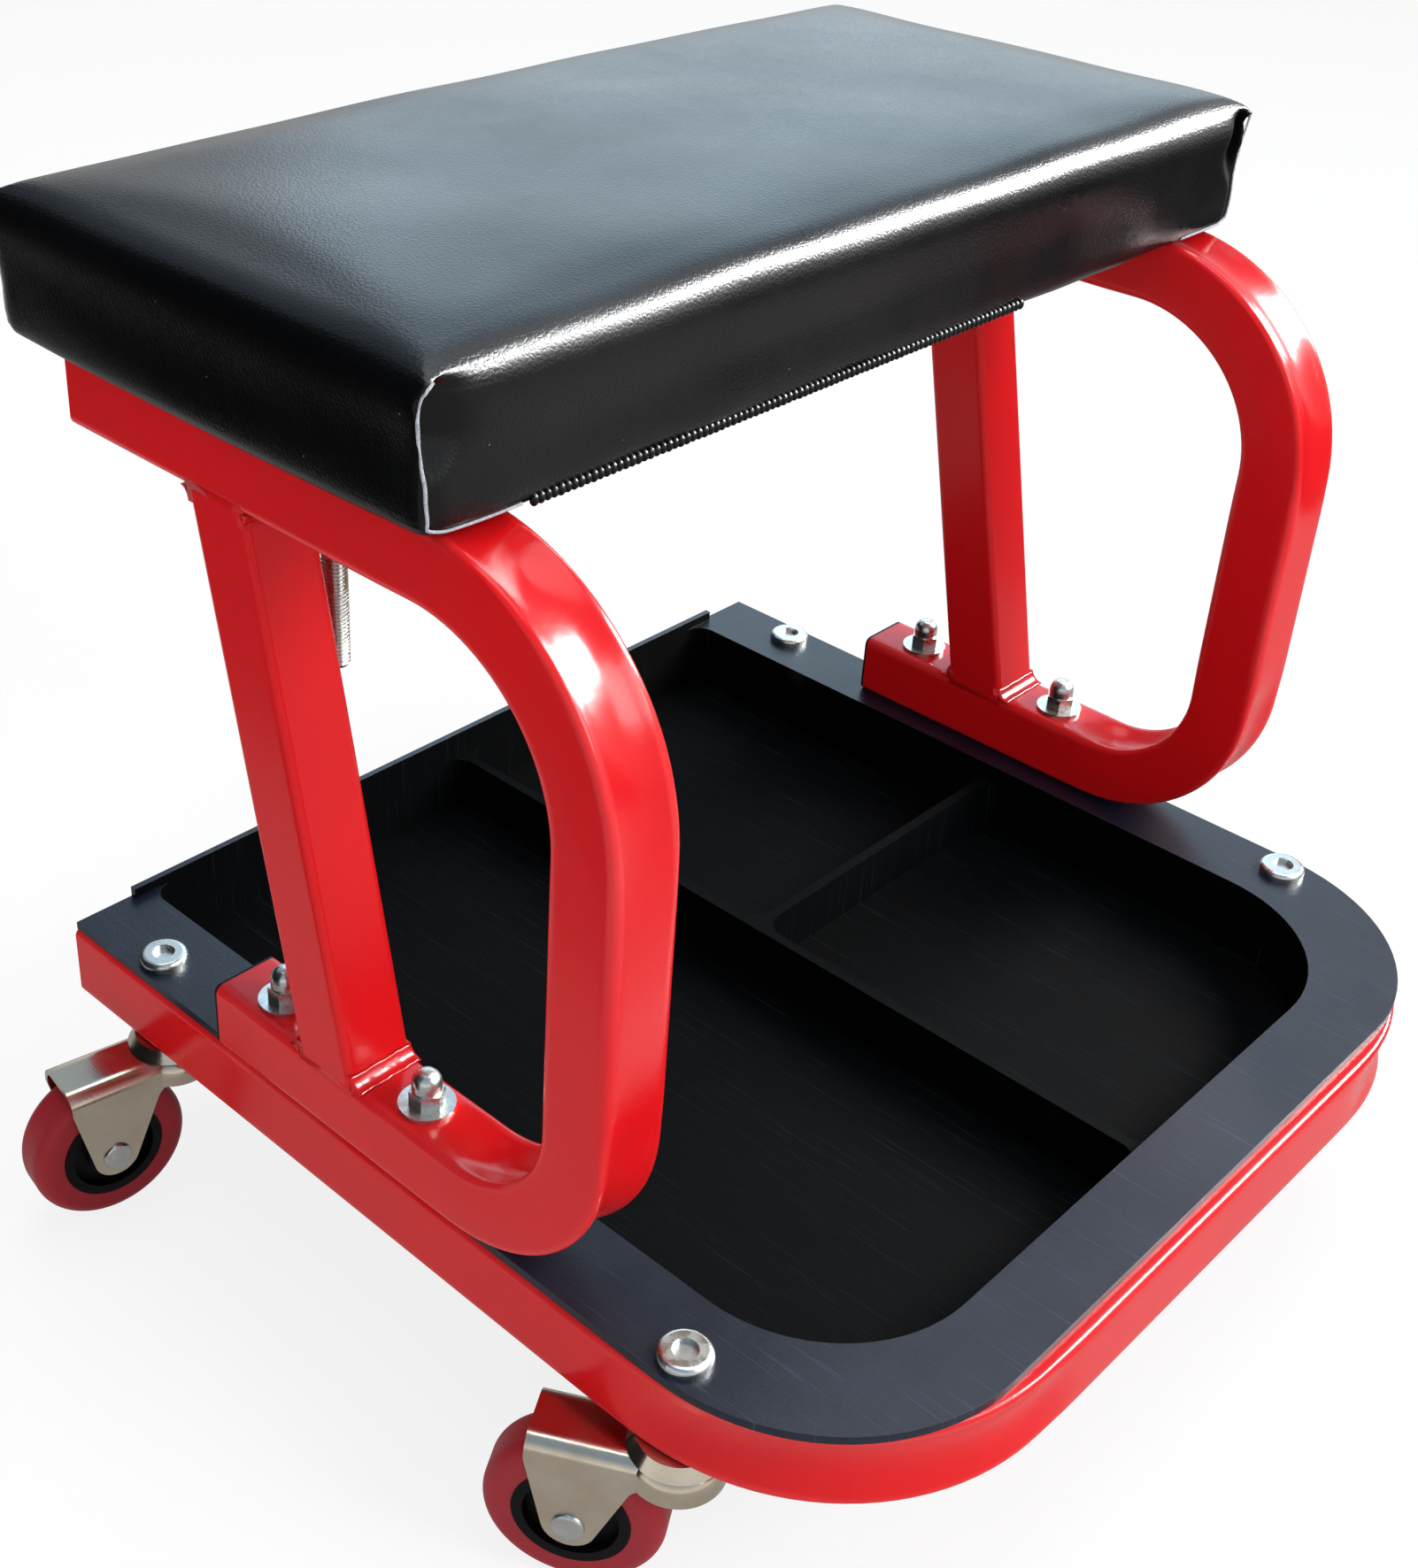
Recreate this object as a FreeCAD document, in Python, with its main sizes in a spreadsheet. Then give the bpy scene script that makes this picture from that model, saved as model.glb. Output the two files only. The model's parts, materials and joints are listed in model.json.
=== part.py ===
import FreeCAD, Part
import math
import os
import Sketcher
from FreeCAD import Vector
from types import SimpleNamespace

# A low rolling seat for workshop use: a U-shaped base frame on four swivel castors, a tool tray hung in it,
# two bent legs and a padded seat. X is to the right, Y to the rear, Z up.
# The origin is on the floor, below the middle of the base frame. Lengths are in mm, angles in degrees.
sizes = {
    # Base frame: one square tube bent to a U that is open at the rear
    "base_width": 365.0,
    "base_tube": 28.0,
    "base_wall": 1.6,
    "base_corner": 3.0,
    "base_bend": 71.0,
    "plug_depth": 14.0,
    # Distances along the frame, one after the other from its front to its rear
    "castor_from_front": 75.0,
    "leg_past_castor": 22.0,
    "bolt_past_bend": 22.5,
    "strut_past_bolt": 33.7,
    "bolt_past_strut": 34.8,
    "foot_past_bolt": 20.7,
    "castor_past_foot": 50.8,
    "castor_from_rear": 39.0,
    # Distances along the legs' top runs, from the bend to the rear
    "seat_bolt_past_bend": 27.0,
    "strut_past_seat_bolt": 54.9,
    "seat_bolt_past_strut": 45.1,
    "top_past_seat_bolt": 24.3,
    # How far the legs and castors lie outside the middle lines of the base's arms
    "leg_out": 4.4,
    "castor_out": 3.0,
    # Tool tray: a flange that lies on the base tube, and a basin with two dividers
    "tray_flange": 3.0,
    "tray_inset": 1.0,
    "tray_front_inset": 5.0,
    "tray_bend": 72.0,
    "tray_gap": 1.0,
    "tray_lift": 0.5,
    "tray_wall": 2.5,
    "tray_floor": 2.5,
    "tray_round": 8.0,
    "divider_width": 4.0,
    "divider_drop": 7.0,
    "divider_x": 4.0,
    "divider_y": 17.5,
    "lip_height": 4.0,
    "lip_over": 4.5,
    # Legs: a square tube bent to a C, and a leaning strut welded into it
    "leg_tube": 25.0,
    "leg_wall": 1.5,
    "leg_corner": 3.0,
    "leg_bend": 50.0,
    "leg_top_bend": 64.0,
    "leg_height": 231.0,
    "cap_head": 1.0,
    "cap_depth": 10.0,
    # Fasteners: one thread size, and a smaller one at the legs
    "bolt_size": 8.0,
    "leg_bolt_size": 6.0,
    "bolt_play": 0.3,
    "thread_gap": 0.1,
    "slip_gap": 0.1,
    "hex_across": 13.0,
    "leg_hex_across": 10.0,
    "hex_head": 5.3,
    "nut_height": 6.5,
    "leg_nut_height": 5.0,
    "washer_width": 18.0,
    "washer_thick": 1.6,
    "dome_width": 9.5,
    "dome_bore": 8.5,
    "dome_cap": 3.5,
    "round_head_width": 17.0,
    "round_head_height": 3.6,
    "round_head_ease": 2.0,
    "round_head_recess": 8.0,
    "recess_depth": 2.0,
    "button_width": 14.0,
    "head_room": 1.0,
    "bolt_tail": 2.0,
    # Castors
    "castor_front_turn": 120.0,
    "castor_rear_turn": 170.0,
    "castor_trail": 29.0,
    "wheel_size": 57.0,
    "wheel_room": 1.5,
    "tyre_width": 18.0,
    "tyre_depth": 10.0,
    "tyre_round": 5.0,
    "hub_proud": 0.3,
    "hub_play": 0.7,
    "hub_rim": 3.5,
    "hub_boss": 19.0,
    "hub_recess": 3.5,
    "bush_width": 12.0,
    "axle_size": 8.0,
    "axle_head_width": 10.5,
    "axle_head_height": 1.4,
    "fork_sheet": 2.0,
    "fork_bend": 4.0,
    "fork_nose": 15.5,
    "fork_past_axle": 14.3,
    "fork_skirt": 9.5,
    "fork_cheek": 7.5,
    "fork_front": 4.0,
    "throat_past_front": 6.0,
    "fork_throat": 6.0,
    "bowl_wall": 3.0,
    "fork_tip": 8.5,
    "race_plate": 1.2,
    "race_top": 25.0,
    "race_rim": 30.5,
    "ball_size": 3.0,
    "ball_ring": 18.6,
    "kingpin_width": 14.0,
    "kingpin_head_width": 22.0,
    "kingpin_head": 1.8,
    "run_gap": 0.05,
    "side_gap": 0.3,
    # Seat: a board and a foam pad inside a cover whose hem turns under the board
    "seat_over_side": 25.1,
    "seat_over_front": 47.5,
    "seat_over_rear": 50.5,
    "seat_thick": 50.0,
    "seat_crown": 6.0,
    "crown_margin": 0.5,
    "seat_round": 12.0,
    "corner_past_round": 4.0,
    "side_flat": 8.0,
    "seat_draw": 7.0,
    "cover_thick": 1.2,
    "cover_hem": 26.0,
    "hem_room": 6.0,
    "foam_gap": 0.3,
    "board_thick": 12.0,
    "insert_flange": 20.0,
    "insert_flange_thick": 1.5,
    "insert_barrel": 11.0,
    "stud_past_seat_bolt": 46.5,
    "stud_room": 1.4,
    "stud_hang": 87.0,
    "staple_width": 10.0,
    "staple_wire": 0.8,
    "staple_leg": 7.0,
    "staple_edge": 14.0,
    "staple_room": 23.4,
}
ball_count = 14
staple_count = 12
# The share of a head's height, or of a dome's half width, that its rounding takes
round_share = 0.9
# The crown's rings: how far each is drawn in and how far up it lies, as shares
crown_steps = ((0, 0), (0.35, 0.6), (0.8, 1))
# Closer than this counts as the same place
same_place = 1e-4

doc = FreeCAD.newDocument("rolling_mechanic_seat")
sheet = doc.addObject("Spreadsheet::Sheet", "Sizes")
for row, (size_name, size_value) in enumerate(sizes.items(), start=1):
    sheet.set(f"A{row}", size_name)
    sheet.set(f"B{row}", str(size_value))
    sheet.setAlias(f"B{row}", size_name)
doc.recompute()
nodes = []


# Sizes that keep their sheet expression
class Size:
    def __init__(self, value, text):
        self.value = value
        self.text = text

    def joined(self, other, sign, value):
        return Size(value, f"({self.text} {sign} {other.text})")

    def __add__(self, other):
        other = as_size(other)
        return self.joined(other, "+", self.value + other.value)

    def __sub__(self, other):
        other = as_size(other)
        return self.joined(other, "-", self.value - other.value)

    def __mul__(self, other):
        other = as_size(other)
        return self.joined(other, "*", self.value * other.value)

    def __truediv__(self, other):
        other = as_size(other)
        return self.joined(other, "/", self.value / other.value)

    def __neg__(self):
        return self * -1

    def __rsub__(self, other):
        return as_size(other) - self

    __radd__ = __add__
    __rmul__ = __mul__


def as_size(number):
    if isinstance(number, Size):
        return number
    return Size(float(number), str(float(number)))


def root_of(size):
    return Size(math.sqrt(size.value), f"sqrt({size.text})")


def cosine(size):
    return Size(math.cos(math.radians(size.value)), f"cos({size.text})")


def sine(size):
    return Size(math.sin(math.radians(size.value)), f"sin({size.text})")


s = SimpleNamespace(**{key: Size(value, f"Sizes.{key}") for key, value in sizes.items()})


def bind(thing, path, size):
    thing.setExpression(path, as_size(size).text)


# Bodies, sketches and features
def new_body(name, x=0, y=0, z=0, turn=0):
    body = doc.addObject("PartDesign::Body", name)
    for axis, size in zip("xyz", (x, y, z)):
        bind(body, f"Placement.Base.{axis}", size)
    bind(body, "Placement.Rotation.Angle", turn)
    return body


def new_node(name, x=0, y=0, z=0, turn=0):
    body = new_body(name, x, y, z, turn)
    nodes.append(body)
    return body


def origin_of(body, role):
    return next(feature for feature in body.Origin.OriginFeatures if feature.Role == role)


# The offset is in the sketch's own axes: across, up and along its normal.
def new_sketch(body, role, across=0, up=0, along=0):
    sketch = body.newObject("Sketcher::SketchObject", f"{body.Name}_sketch")
    sketch.AttachmentSupport = [(origin_of(body, role), "")]
    sketch.MapMode = "FlatFace"
    for axis, size in zip("xyz", (across, up, along)):
        bind(sketch, f"AttachmentOffset.Base.{axis}", size)
    return sketch


def hold(sketch, kind, size, *where):
    index = sketch.addConstraint(Sketcher.Constraint(kind, *where, size.value))
    sketch.setExpression(f"Constraints[{index}]", size.text)


def hold_point(sketch, item, end, x, y):
    for kind, own_axis, size in (("DistanceX", -2, as_size(x)), ("DistanceY", -1, as_size(y))):
        if size.text == "0.0":
            sketch.addConstraint(Sketcher.Constraint("PointOnObject", item, end, own_axis))
        else:
            hold(sketch, kind, size, -1, 1, item, end)


def add_circle(sketch, x, y, width):
    x, y, width = as_size(x), as_size(y), as_size(width)
    item = sketch.addGeometry(Part.Circle(Vector(x.value, y.value, 0), Vector(0, 0, 1), width.value / 2))
    hold_point(sketch, item, 3, x, y)
    hold(sketch, "Diameter", width, item)


def towards(start, end):
    gap = [end[i].value - start[i].value for i in range(2)]
    reach = math.hypot(*gap)
    return [round(part / reach) for part in gap]


# Straight lines through corners (x, y) or (x, y, radius). A corner with a radius is square to the axes.
def add_outline(sketch, corners, closed=True):
    corners = [[as_size(part) for part in corner] for corner in corners]
    count = len(corners)
    entries, exits, bends = [], [], []
    for i, corner in enumerate(corners):
        x, y = corner[:2]
        if len(corner) == 2:
            entries.append((x, y))
            exits.append((x, y))
            bends.append(None)
            continue
        radius = corner[2]
        back = towards(corner, corners[i - 1])
        ahead = towards(corner, corners[(i + 1) % count])
        entries.append((x + radius * back[0], y + radius * back[1]))
        exits.append((x + radius * ahead[0], y + radius * ahead[1]))
        middle = (x + radius * (back[0] + ahead[0]), y + radius * (back[1] + ahead[1]))
        left_turn = back[0] * ahead[1] - back[1] * ahead[0] < 0
        bends.append((middle, radius, left_turn))

    def spot(point):
        return Vector(point[0].value, point[1].value, 0)

    runs = count if closed else count - 1
    lines = [sketch.addGeometry(Part.LineSegment(spot(exits[i]), spot(entries[(i + 1) % count])))
             for i in range(runs)]
    for i, bend in enumerate(bends):
        before = lines[i - 1] if closed or i > 0 else None
        after = lines[i] if i < runs else None
        if bend is None:
            if before is not None and after is not None:
                sketch.addConstraint(Sketcher.Constraint("Coincident", before, 2, after, 1))
            item, end = (after, 1) if after is not None else (before, 2)
            hold_point(sketch, item, end, *entries[i])
            continue
        middle, radius, left_turn = bend
        first, last = (entries[i], exits[i]) if left_turn else (exits[i], entries[i])
        angles = [math.atan2(point[1].value - middle[1].value, point[0].value - middle[0].value)
                  for point in (first, last)]
        circle = Part.Circle(spot(middle), Vector(0, 0, 1), radius.value)
        arc = sketch.addGeometry(Part.ArcOfCircle(circle, *angles))
        sketch.addConstraint(Sketcher.Constraint("Tangent", before, 2, arc, 1 if left_turn else 2))
        sketch.addConstraint(Sketcher.Constraint("Tangent", arc, 2 if left_turn else 1, after, 1))
        hold_point(sketch, arc, 3, *middle)
        hold(sketch, "Radius", radius, arc)


def add_rectangle(sketch, low_x, high_x, low_y, high_y, radius=None):
    spots = [(low_x, low_y), (high_x, low_y), (high_x, high_y), (low_x, high_y)]
    add_outline(sketch, [spot if radius is None else (*spot, radius) for spot in spots])


def add_square(sketch, width, radius=None):
    add_rectangle(sketch, -width / 2, width / 2, -width / 2, width / 2, radius)


def add_hexagon(sketch, across):
    half = across / 2
    point = across / root_of(as_size(3))
    add_outline(sketch, [(half, -point / 2), (half, point / 2), (0, point),
                         (-half, point / 2), (-half, -point / 2), (0, -point)])


def add_feature(body, kind, sketch):
    feature = body.newObject(f"PartDesign::{kind}", f"{body.Name}_{kind}")
    feature.Profile = sketch
    return feature


def pad(body, sketch, length, way="up"):
    feature = add_feature(body, "Pad", sketch)
    feature.SideType = "Symmetric" if way == "both" else "One side"
    feature.Reversed = way == "down"
    bind(feature, "Length", length)
    return feature


def pocket(body, sketch, length=None, way="down"):
    before = body.Tip
    feature = add_feature(body, "Pocket", sketch)
    feature.SideType = "Symmetric" if way == "both" else "One side"
    feature.Reversed = way == "up"
    if length is None:
        feature.Type = "ThroughAll"
    else:
        bind(feature, "Length", length)
    doc.recompute()
    if feature.Shape.Volume > before.Shape.Volume - same_place:
        raise RuntimeError(f"{feature.Name} cuts nothing")
    return feature


def revolve(body, sketch, axis="V_Axis"):
    feature = add_feature(body, "Revolution", sketch)
    feature.ReferenceAxis = (sketch, [axis])
    feature.Angle = 360
    return feature


def round_edges(body, radius, wanted):
    doc.recompute()
    tip = body.Tip
    edges = [f"Edge{i}" for i, edge in enumerate(tip.Shape.Edges, start=1) if wanted(edge)]
    feature = body.newObject("PartDesign::Fillet", f"{body.Name}_Fillet")
    feature.Base = (tip, edges)
    bind(feature, "Radius", radius)
    return feature


def flat_at(height):
    def wanted(edge):
        box = edge.BoundBox
        return box.ZLength < same_place and abs(box.ZMin - height.value) < same_place
    return wanted


def mirror(body):
    feature = body.newObject("PartDesign::Mirrored", f"{body.Name}_Mirrored")
    feature.TransformMode = "Whole shape"
    feature.MirrorPlane = (origin_of(body, "YZ_Plane"), [""])
    body.Tip = feature
    doc.recompute()


def repeat(body, role, length, count=2):
    feature = body.newObject("PartDesign::LinearPattern", f"{body.Name}_Pattern")
    feature.TransformMode = "Whole shape"
    feature.Direction = (origin_of(body, role), [""])
    bind(feature, "Length", length)
    feature.Occurrences = count
    body.Tip = feature
    doc.recompute()


def ring(body, count):
    feature = body.newObject("PartDesign::PolarPattern", f"{body.Name}_Ring")
    feature.TransformMode = "Whole shape"
    feature.Axis = (origin_of(body, "Z_Axis"), [""])
    feature.Angle = 360
    feature.Occurrences = count
    body.Tip = feature


# Fits that several pieces share
bolt_hole = s.bolt_size + s.bolt_play * 2
thread_bore = s.bolt_size + s.thread_gap * 2
leg_bolt_hole = s.leg_bolt_size + s.bolt_play * 2
axle_hole = s.axle_size + s.slip_gap * 2
kingpin_hole = s.kingpin_width + s.run_gap * 2
hub_width = s.tyre_width + s.hub_proud * 2
fork_opening = hub_width + s.hub_play * 2
fork_half = fork_opening / 2 + s.fork_sheet

# Heights above the floor, from the wheels upwards
wheel_radius = s.wheel_size / 2
fork_under = s.wheel_size + s.wheel_room
fork_top = fork_under + s.fork_sheet
castor_height = fork_top + s.ball_size + s.side_gap + s.race_plate
kingpin_foot = fork_under - s.side_gap - s.kingpin_head
base_top = castor_height + s.base_tube
leg_floor = base_top + s.tray_flange
seat_floor = leg_floor + s.leg_height
tray_depth = s.base_tube + s.tray_flange - s.tray_floor - s.tray_lift

# Places along Y, with the frame's middle at zero
bend_end = s.leg_tube / 2 + s.leg_bend
foot_length = bend_end + s.bolt_past_bend + s.strut_past_bolt + s.bolt_past_strut + s.foot_past_bolt
base_length = (s.castor_from_front + s.leg_past_castor + foot_length + s.castor_past_foot
               + s.castor_from_rear)
base_rear = base_length / 2
castor_front_y = s.castor_from_front - base_rear
leg_front_y = castor_front_y + s.leg_past_castor
leg_bolt_front_y = leg_front_y + bend_end + s.bolt_past_bend
strut_foot_y = leg_bolt_front_y + s.strut_past_bolt
leg_bolt_rear_y = strut_foot_y + s.bolt_past_strut
leg_foot_y = leg_bolt_rear_y + s.foot_past_bolt
castor_rear_y = leg_foot_y + s.castor_past_foot
seat_bolt_front_y = leg_front_y + s.leg_tube / 2 + s.leg_top_bend + s.seat_bolt_past_bend
strut_head_y = seat_bolt_front_y + s.strut_past_seat_bolt
seat_bolt_rear_y = strut_head_y + s.seat_bolt_past_strut
leg_top_y = seat_bolt_rear_y + s.top_past_seat_bolt
stud_y = seat_bolt_front_y + s.stud_past_seat_bolt
leg_bolt_gap = s.strut_past_bolt + s.bolt_past_strut
castor_gap = castor_rear_y - castor_front_y
seat_bolt_gap = s.strut_past_seat_bolt + s.seat_bolt_past_strut
seat_depth = s.seat_over_front + seat_bolt_gap + s.seat_over_rear
seat_y = seat_bolt_front_y - s.seat_over_front + seat_depth / 2

# Places along X
arm_x = (s.base_width - s.base_tube) / 2
castor_x = arm_x + s.castor_out
leg_x = arm_x + s.leg_out
leg_inside = leg_x - s.leg_tube / 2
stud_edge = leg_inside - s.stud_room
stud_x = s.washer_width / 2 - stud_edge
seat_width = (leg_x + s.seat_over_side) * 2

# The tray's basin
basin_half = s.base_width / 2 - s.base_tube - s.tray_gap
basin_front = s.base_tube + s.tray_gap - base_rear
basin_bend = s.base_bend - s.base_tube / 2 - s.tray_gap


# Bends a hollow square tube along a path of straight runs and arcs.
def bent_tube(body, path, section, width, wall, corner):
    add_square(section, width, corner)
    add_square(section, width - wall * 2, corner - wall)
    doc.recompute()
    pipe = add_feature(body, "AdditivePipe", section)
    pipe.Spine = (path, [f"Edge{i + 1}" for i in range(len(path.Shape.Edges))])
    return pipe


# Upright holes at (x, y) spots, right through the body.
def drill(body, spots, width):
    sketch = new_sketch(body, "XY_Plane")
    for x, y in spots:
        add_circle(sketch, x, y, width)
    pocket(body, sketch, way="both")


def both_sides(x, places):
    return [(side, y) for y in places for side in (-x, x)]


castor_spots = both_sides(castor_x, (castor_front_y, castor_rear_y))
leg_bolt_spots = both_sides(leg_x, (leg_bolt_front_y, leg_bolt_rear_y))
seat_bolt_spots = both_sides(leg_x, (seat_bolt_front_y, seat_bolt_rear_y))


def build_base_frame():
    body = new_node("base_frame", z=castor_height + s.base_tube / 2)
    front = s.base_tube / 2 - base_rear
    path = new_sketch(body, "XY_Plane")
    add_outline(path, [(-arm_x, base_rear), (-arm_x, front, s.base_bend),
                       (arm_x, front, s.base_bend), (arm_x, base_rear)], closed=False)
    section = new_sketch(body, "XZ_Plane", across=-arm_x, along=-base_rear)
    bent_tube(body, path, section, s.base_tube, s.base_wall, s.base_corner)
    drill(body, castor_spots, bolt_hole)
    drill(body, leg_bolt_spots, leg_bolt_hole)


def build_base_plugs():
    body = new_node("base_end_plugs", z=castor_height + s.base_tube / 2)
    sketch = new_sketch(body, "XZ_Plane", across=arm_x, along=-base_rear)
    add_square(sketch, s.base_tube - s.base_wall * 2 - s.slip_gap * 2, s.base_corner - s.base_wall)
    pad(body, sketch, s.plug_depth)
    mirror(body)


def build_tray():
    body = new_node("tool_tray", z=base_top)
    half = s.base_width / 2 - s.tray_inset
    front, bend = s.tray_front_inset - base_rear, s.tray_bend
    flange = new_sketch(body, "XY_Plane")
    add_outline(flange, [(-half, base_rear), (-half, front, bend), (half, front, bend), (half, base_rear)])
    pad(body, flange, s.tray_flange)
    basin = new_sketch(body, "XY_Plane")
    add_outline(basin, [(-basin_half, base_rear), (-basin_half, basin_front, basin_bend),
                        (basin_half, basin_front, basin_bend), (basin_half, base_rear)])
    pad(body, basin, tray_depth + s.tray_floor - s.tray_flange, way="down")
    inner = basin_half - s.tray_wall
    inner_front = basin_front + s.tray_wall
    inner_bend = basin_bend - s.tray_wall
    inner_rear = base_rear - s.tray_wall
    mid_left = s.divider_x - s.divider_width / 2
    mid_right = s.divider_x + s.divider_width / 2
    cross_front = s.divider_y - s.divider_width / 2
    cross_rear = s.divider_y + s.divider_width / 2
    soft = s.tray_round
    cells = [
        [(-inner, inner_rear, soft), (-inner, inner_front, inner_bend), (mid_left, inner_front, soft),
         (mid_left, inner_rear, soft)],
        [(mid_right, cross_front, soft), (mid_right, inner_front, soft), (inner, inner_front, inner_bend),
         (inner, cross_front, soft)],
        [(mid_right, inner_rear, soft), (mid_right, cross_rear, soft), (inner, cross_rear, soft),
         (inner, inner_rear, soft)],
    ]
    for cell in cells:
        sketch = new_sketch(body, "XY_Plane", along=s.tray_flange)
        add_outline(sketch, cell)
        pocket(body, sketch, tray_depth)
    mouth = new_sketch(body, "XY_Plane", along=s.tray_flange)
    add_outline(mouth, [(-inner, inner_rear, soft), (-inner, inner_front, inner_bend),
                        (inner, inner_front, inner_bend), (inner, inner_rear, soft)])
    pocket(body, mouth, s.divider_drop)
    lip = new_sketch(body, "XY_Plane", along=s.tray_flange)
    lip_half = basin_half + s.lip_over
    add_rectangle(lip, -lip_half, lip_half, inner_rear, base_rear)
    pad(body, lip, s.lip_height)
    drill(body, castor_spots, bolt_hole)
    drill(body, leg_bolt_spots, leg_bolt_hole)


def build_leg(side, x):
    body = new_node(f"leg_tube_{side}", x=x, z=leg_floor)
    upright = leg_front_y + s.leg_tube / 2
    low = s.leg_tube / 2
    high = s.leg_height - s.leg_tube / 2
    path = new_sketch(body, "YZ_Plane")
    add_outline(path, [(leg_foot_y, low), (upright, low, s.leg_bend), (upright, high, s.leg_top_bend),
                       (leg_top_y, high)], closed=False)
    section = new_sketch(body, "XZ_Plane", up=low, along=-leg_foot_y)
    bent_tube(body, path, section, s.leg_tube, s.leg_wall, s.leg_corner)
    bottom_run = new_sketch(body, "XY_Plane")
    add_circle(bottom_run, 0, leg_bolt_front_y, leg_bolt_hole)
    add_circle(bottom_run, 0, leg_bolt_rear_y, leg_bolt_hole)
    pocket(body, bottom_run, s.leg_tube, way="up")
    # The seat's bolts go in from below by wider holes, so that their heads lie inside the tube
    for hole, way in ((bolt_hole, "up"), (s.washer_width + s.head_room, "down")):
        top_run = new_sketch(body, "XY_Plane", along=s.leg_height - s.leg_tube / 2)
        add_circle(top_run, 0, seat_bolt_front_y, hole)
        add_circle(top_run, 0, seat_bolt_rear_y, hole)
        pocket(body, top_run, s.leg_tube / 2, way=way)


def build_strut(side, x):
    body = new_node(f"leg_strut_{side}", x=x, z=leg_floor)
    low = s.leg_tube
    high = s.leg_height - s.leg_tube
    slope = (strut_head_y - strut_foot_y) / (high - low)
    stretch = root_of(slope * slope + 1)

    def leaning(half):
        return [(strut_foot_y - half, low), (strut_foot_y + half, low),
                (strut_head_y + half, high), (strut_head_y - half, high)]

    outside = new_sketch(body, "YZ_Plane")
    add_outline(outside, leaning(stretch * s.leg_tube / 2))
    pad(body, outside, s.leg_tube, way="both")
    round_edges(body, s.leg_corner, lambda edge: edge.BoundBox.ZLength > s.leg_tube.value)
    inside = new_sketch(body, "YZ_Plane")
    add_outline(inside, leaning(stretch * (s.leg_tube / 2 - s.leg_wall)))
    pocket(body, inside, s.leg_tube - s.leg_wall * 2, way="both")


def build_leg_caps():
    body = new_node("leg_end_caps", z=leg_floor)
    bore = s.leg_tube - s.leg_wall * 2 - s.slip_gap * 2
    head = new_sketch(body, "XZ_Plane", across=leg_x, up=s.leg_tube / 2, along=-leg_foot_y)
    add_square(head, s.leg_tube, s.leg_corner)
    pad(body, head, s.cap_head, way="down")
    for y, z in ((leg_foot_y, s.leg_tube / 2), (leg_top_y, s.leg_height - s.leg_tube / 2)):
        plug = new_sketch(body, "XZ_Plane", across=leg_x, up=z, along=-y)
        add_square(plug, bore, s.leg_corner - s.leg_wall)
        pad(body, plug, s.cap_depth)
    mirror(body)


# A piece turned about an upright line at (x, y), from points (radius, height).
def turn_piece(body, x, y, points):
    sketch = new_sketch(body, "XZ_Plane", across=x, along=-y)
    add_outline(sketch, points)
    revolve(body, sketch)


# A hexagonal block with an optional bore, at (x, y) from the height z upwards.
def hex_block(body, x, y, z, height, bore=None, across=s.hex_across):
    sketch = new_sketch(body, "XY_Plane", across=x, up=y, along=z)
    add_hexagon(sketch, across)
    if bore is not None:
        add_circle(sketch, 0, 0, bore)
    pad(body, sketch, height)


def shank(body, x, y, low, high, width=s.bolt_size):
    sketch = new_sketch(body, "XY_Plane", across=x, up=y, along=low)
    add_circle(sketch, 0, 0, width)
    pad(body, sketch, high - low)


def washer(body, x, y, z, bore=bolt_hole):
    sketch = new_sketch(body, "XY_Plane", across=x, up=y, along=z)
    add_circle(sketch, 0, 0, s.washer_width)
    add_circle(sketch, 0, 0, bore)
    pad(body, sketch, s.washer_thick)


def in_fours(body, gap):
    mirror(body)
    repeat(body, "Y_Axis", gap)


# A low round head that grows upwards or downwards from a flat face at the height z.
def round_head(body, x, y, z, width, way):
    head = new_sketch(body, "XY_Plane", across=x, up=y, along=z)
    add_circle(head, 0, 0, width)
    pad(body, head, s.round_head_height, way=way)
    top = z + s.round_head_height if way == "up" else z - s.round_head_height
    round_edges(body, s.round_head_ease, flat_at(top))


def build_leg_fasteners():
    x, y = leg_x, leg_bolt_front_y
    run_top = leg_floor + s.leg_tube
    nut_floor = run_top + s.washer_thick
    bolts = new_node("leg_bolts")
    round_head(bolts, x, y, castor_height, s.button_width, "down")
    shank(bolts, x, y, castor_height, nut_floor + s.dome_bore - s.bolt_tail, s.leg_bolt_size)
    in_fours(bolts, leg_bolt_gap)
    washers = new_node("leg_washers")
    washer(washers, x, y, run_top, leg_bolt_hole)
    in_fours(washers, leg_bolt_gap)
    nuts = new_node("leg_dome_nuts")
    hex_block(nuts, x, y, nut_floor, s.leg_nut_height, across=s.leg_hex_across)
    dome = new_sketch(nuts, "XY_Plane", across=x, up=y, along=nut_floor)
    add_circle(dome, 0, 0, s.dome_width)
    dome_height = s.dome_bore + s.dome_cap
    pad(nuts, dome, dome_height)
    round_edges(nuts, s.dome_width / 2 * round_share, flat_at(nut_floor + dome_height))
    bore = new_sketch(nuts, "XY_Plane", across=x, up=y, along=nut_floor)
    add_circle(bore, 0, 0, s.leg_bolt_size + s.thread_gap * 2)
    pocket(nuts, bore, s.dome_bore, way="up")
    in_fours(nuts, leg_bolt_gap)


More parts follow.
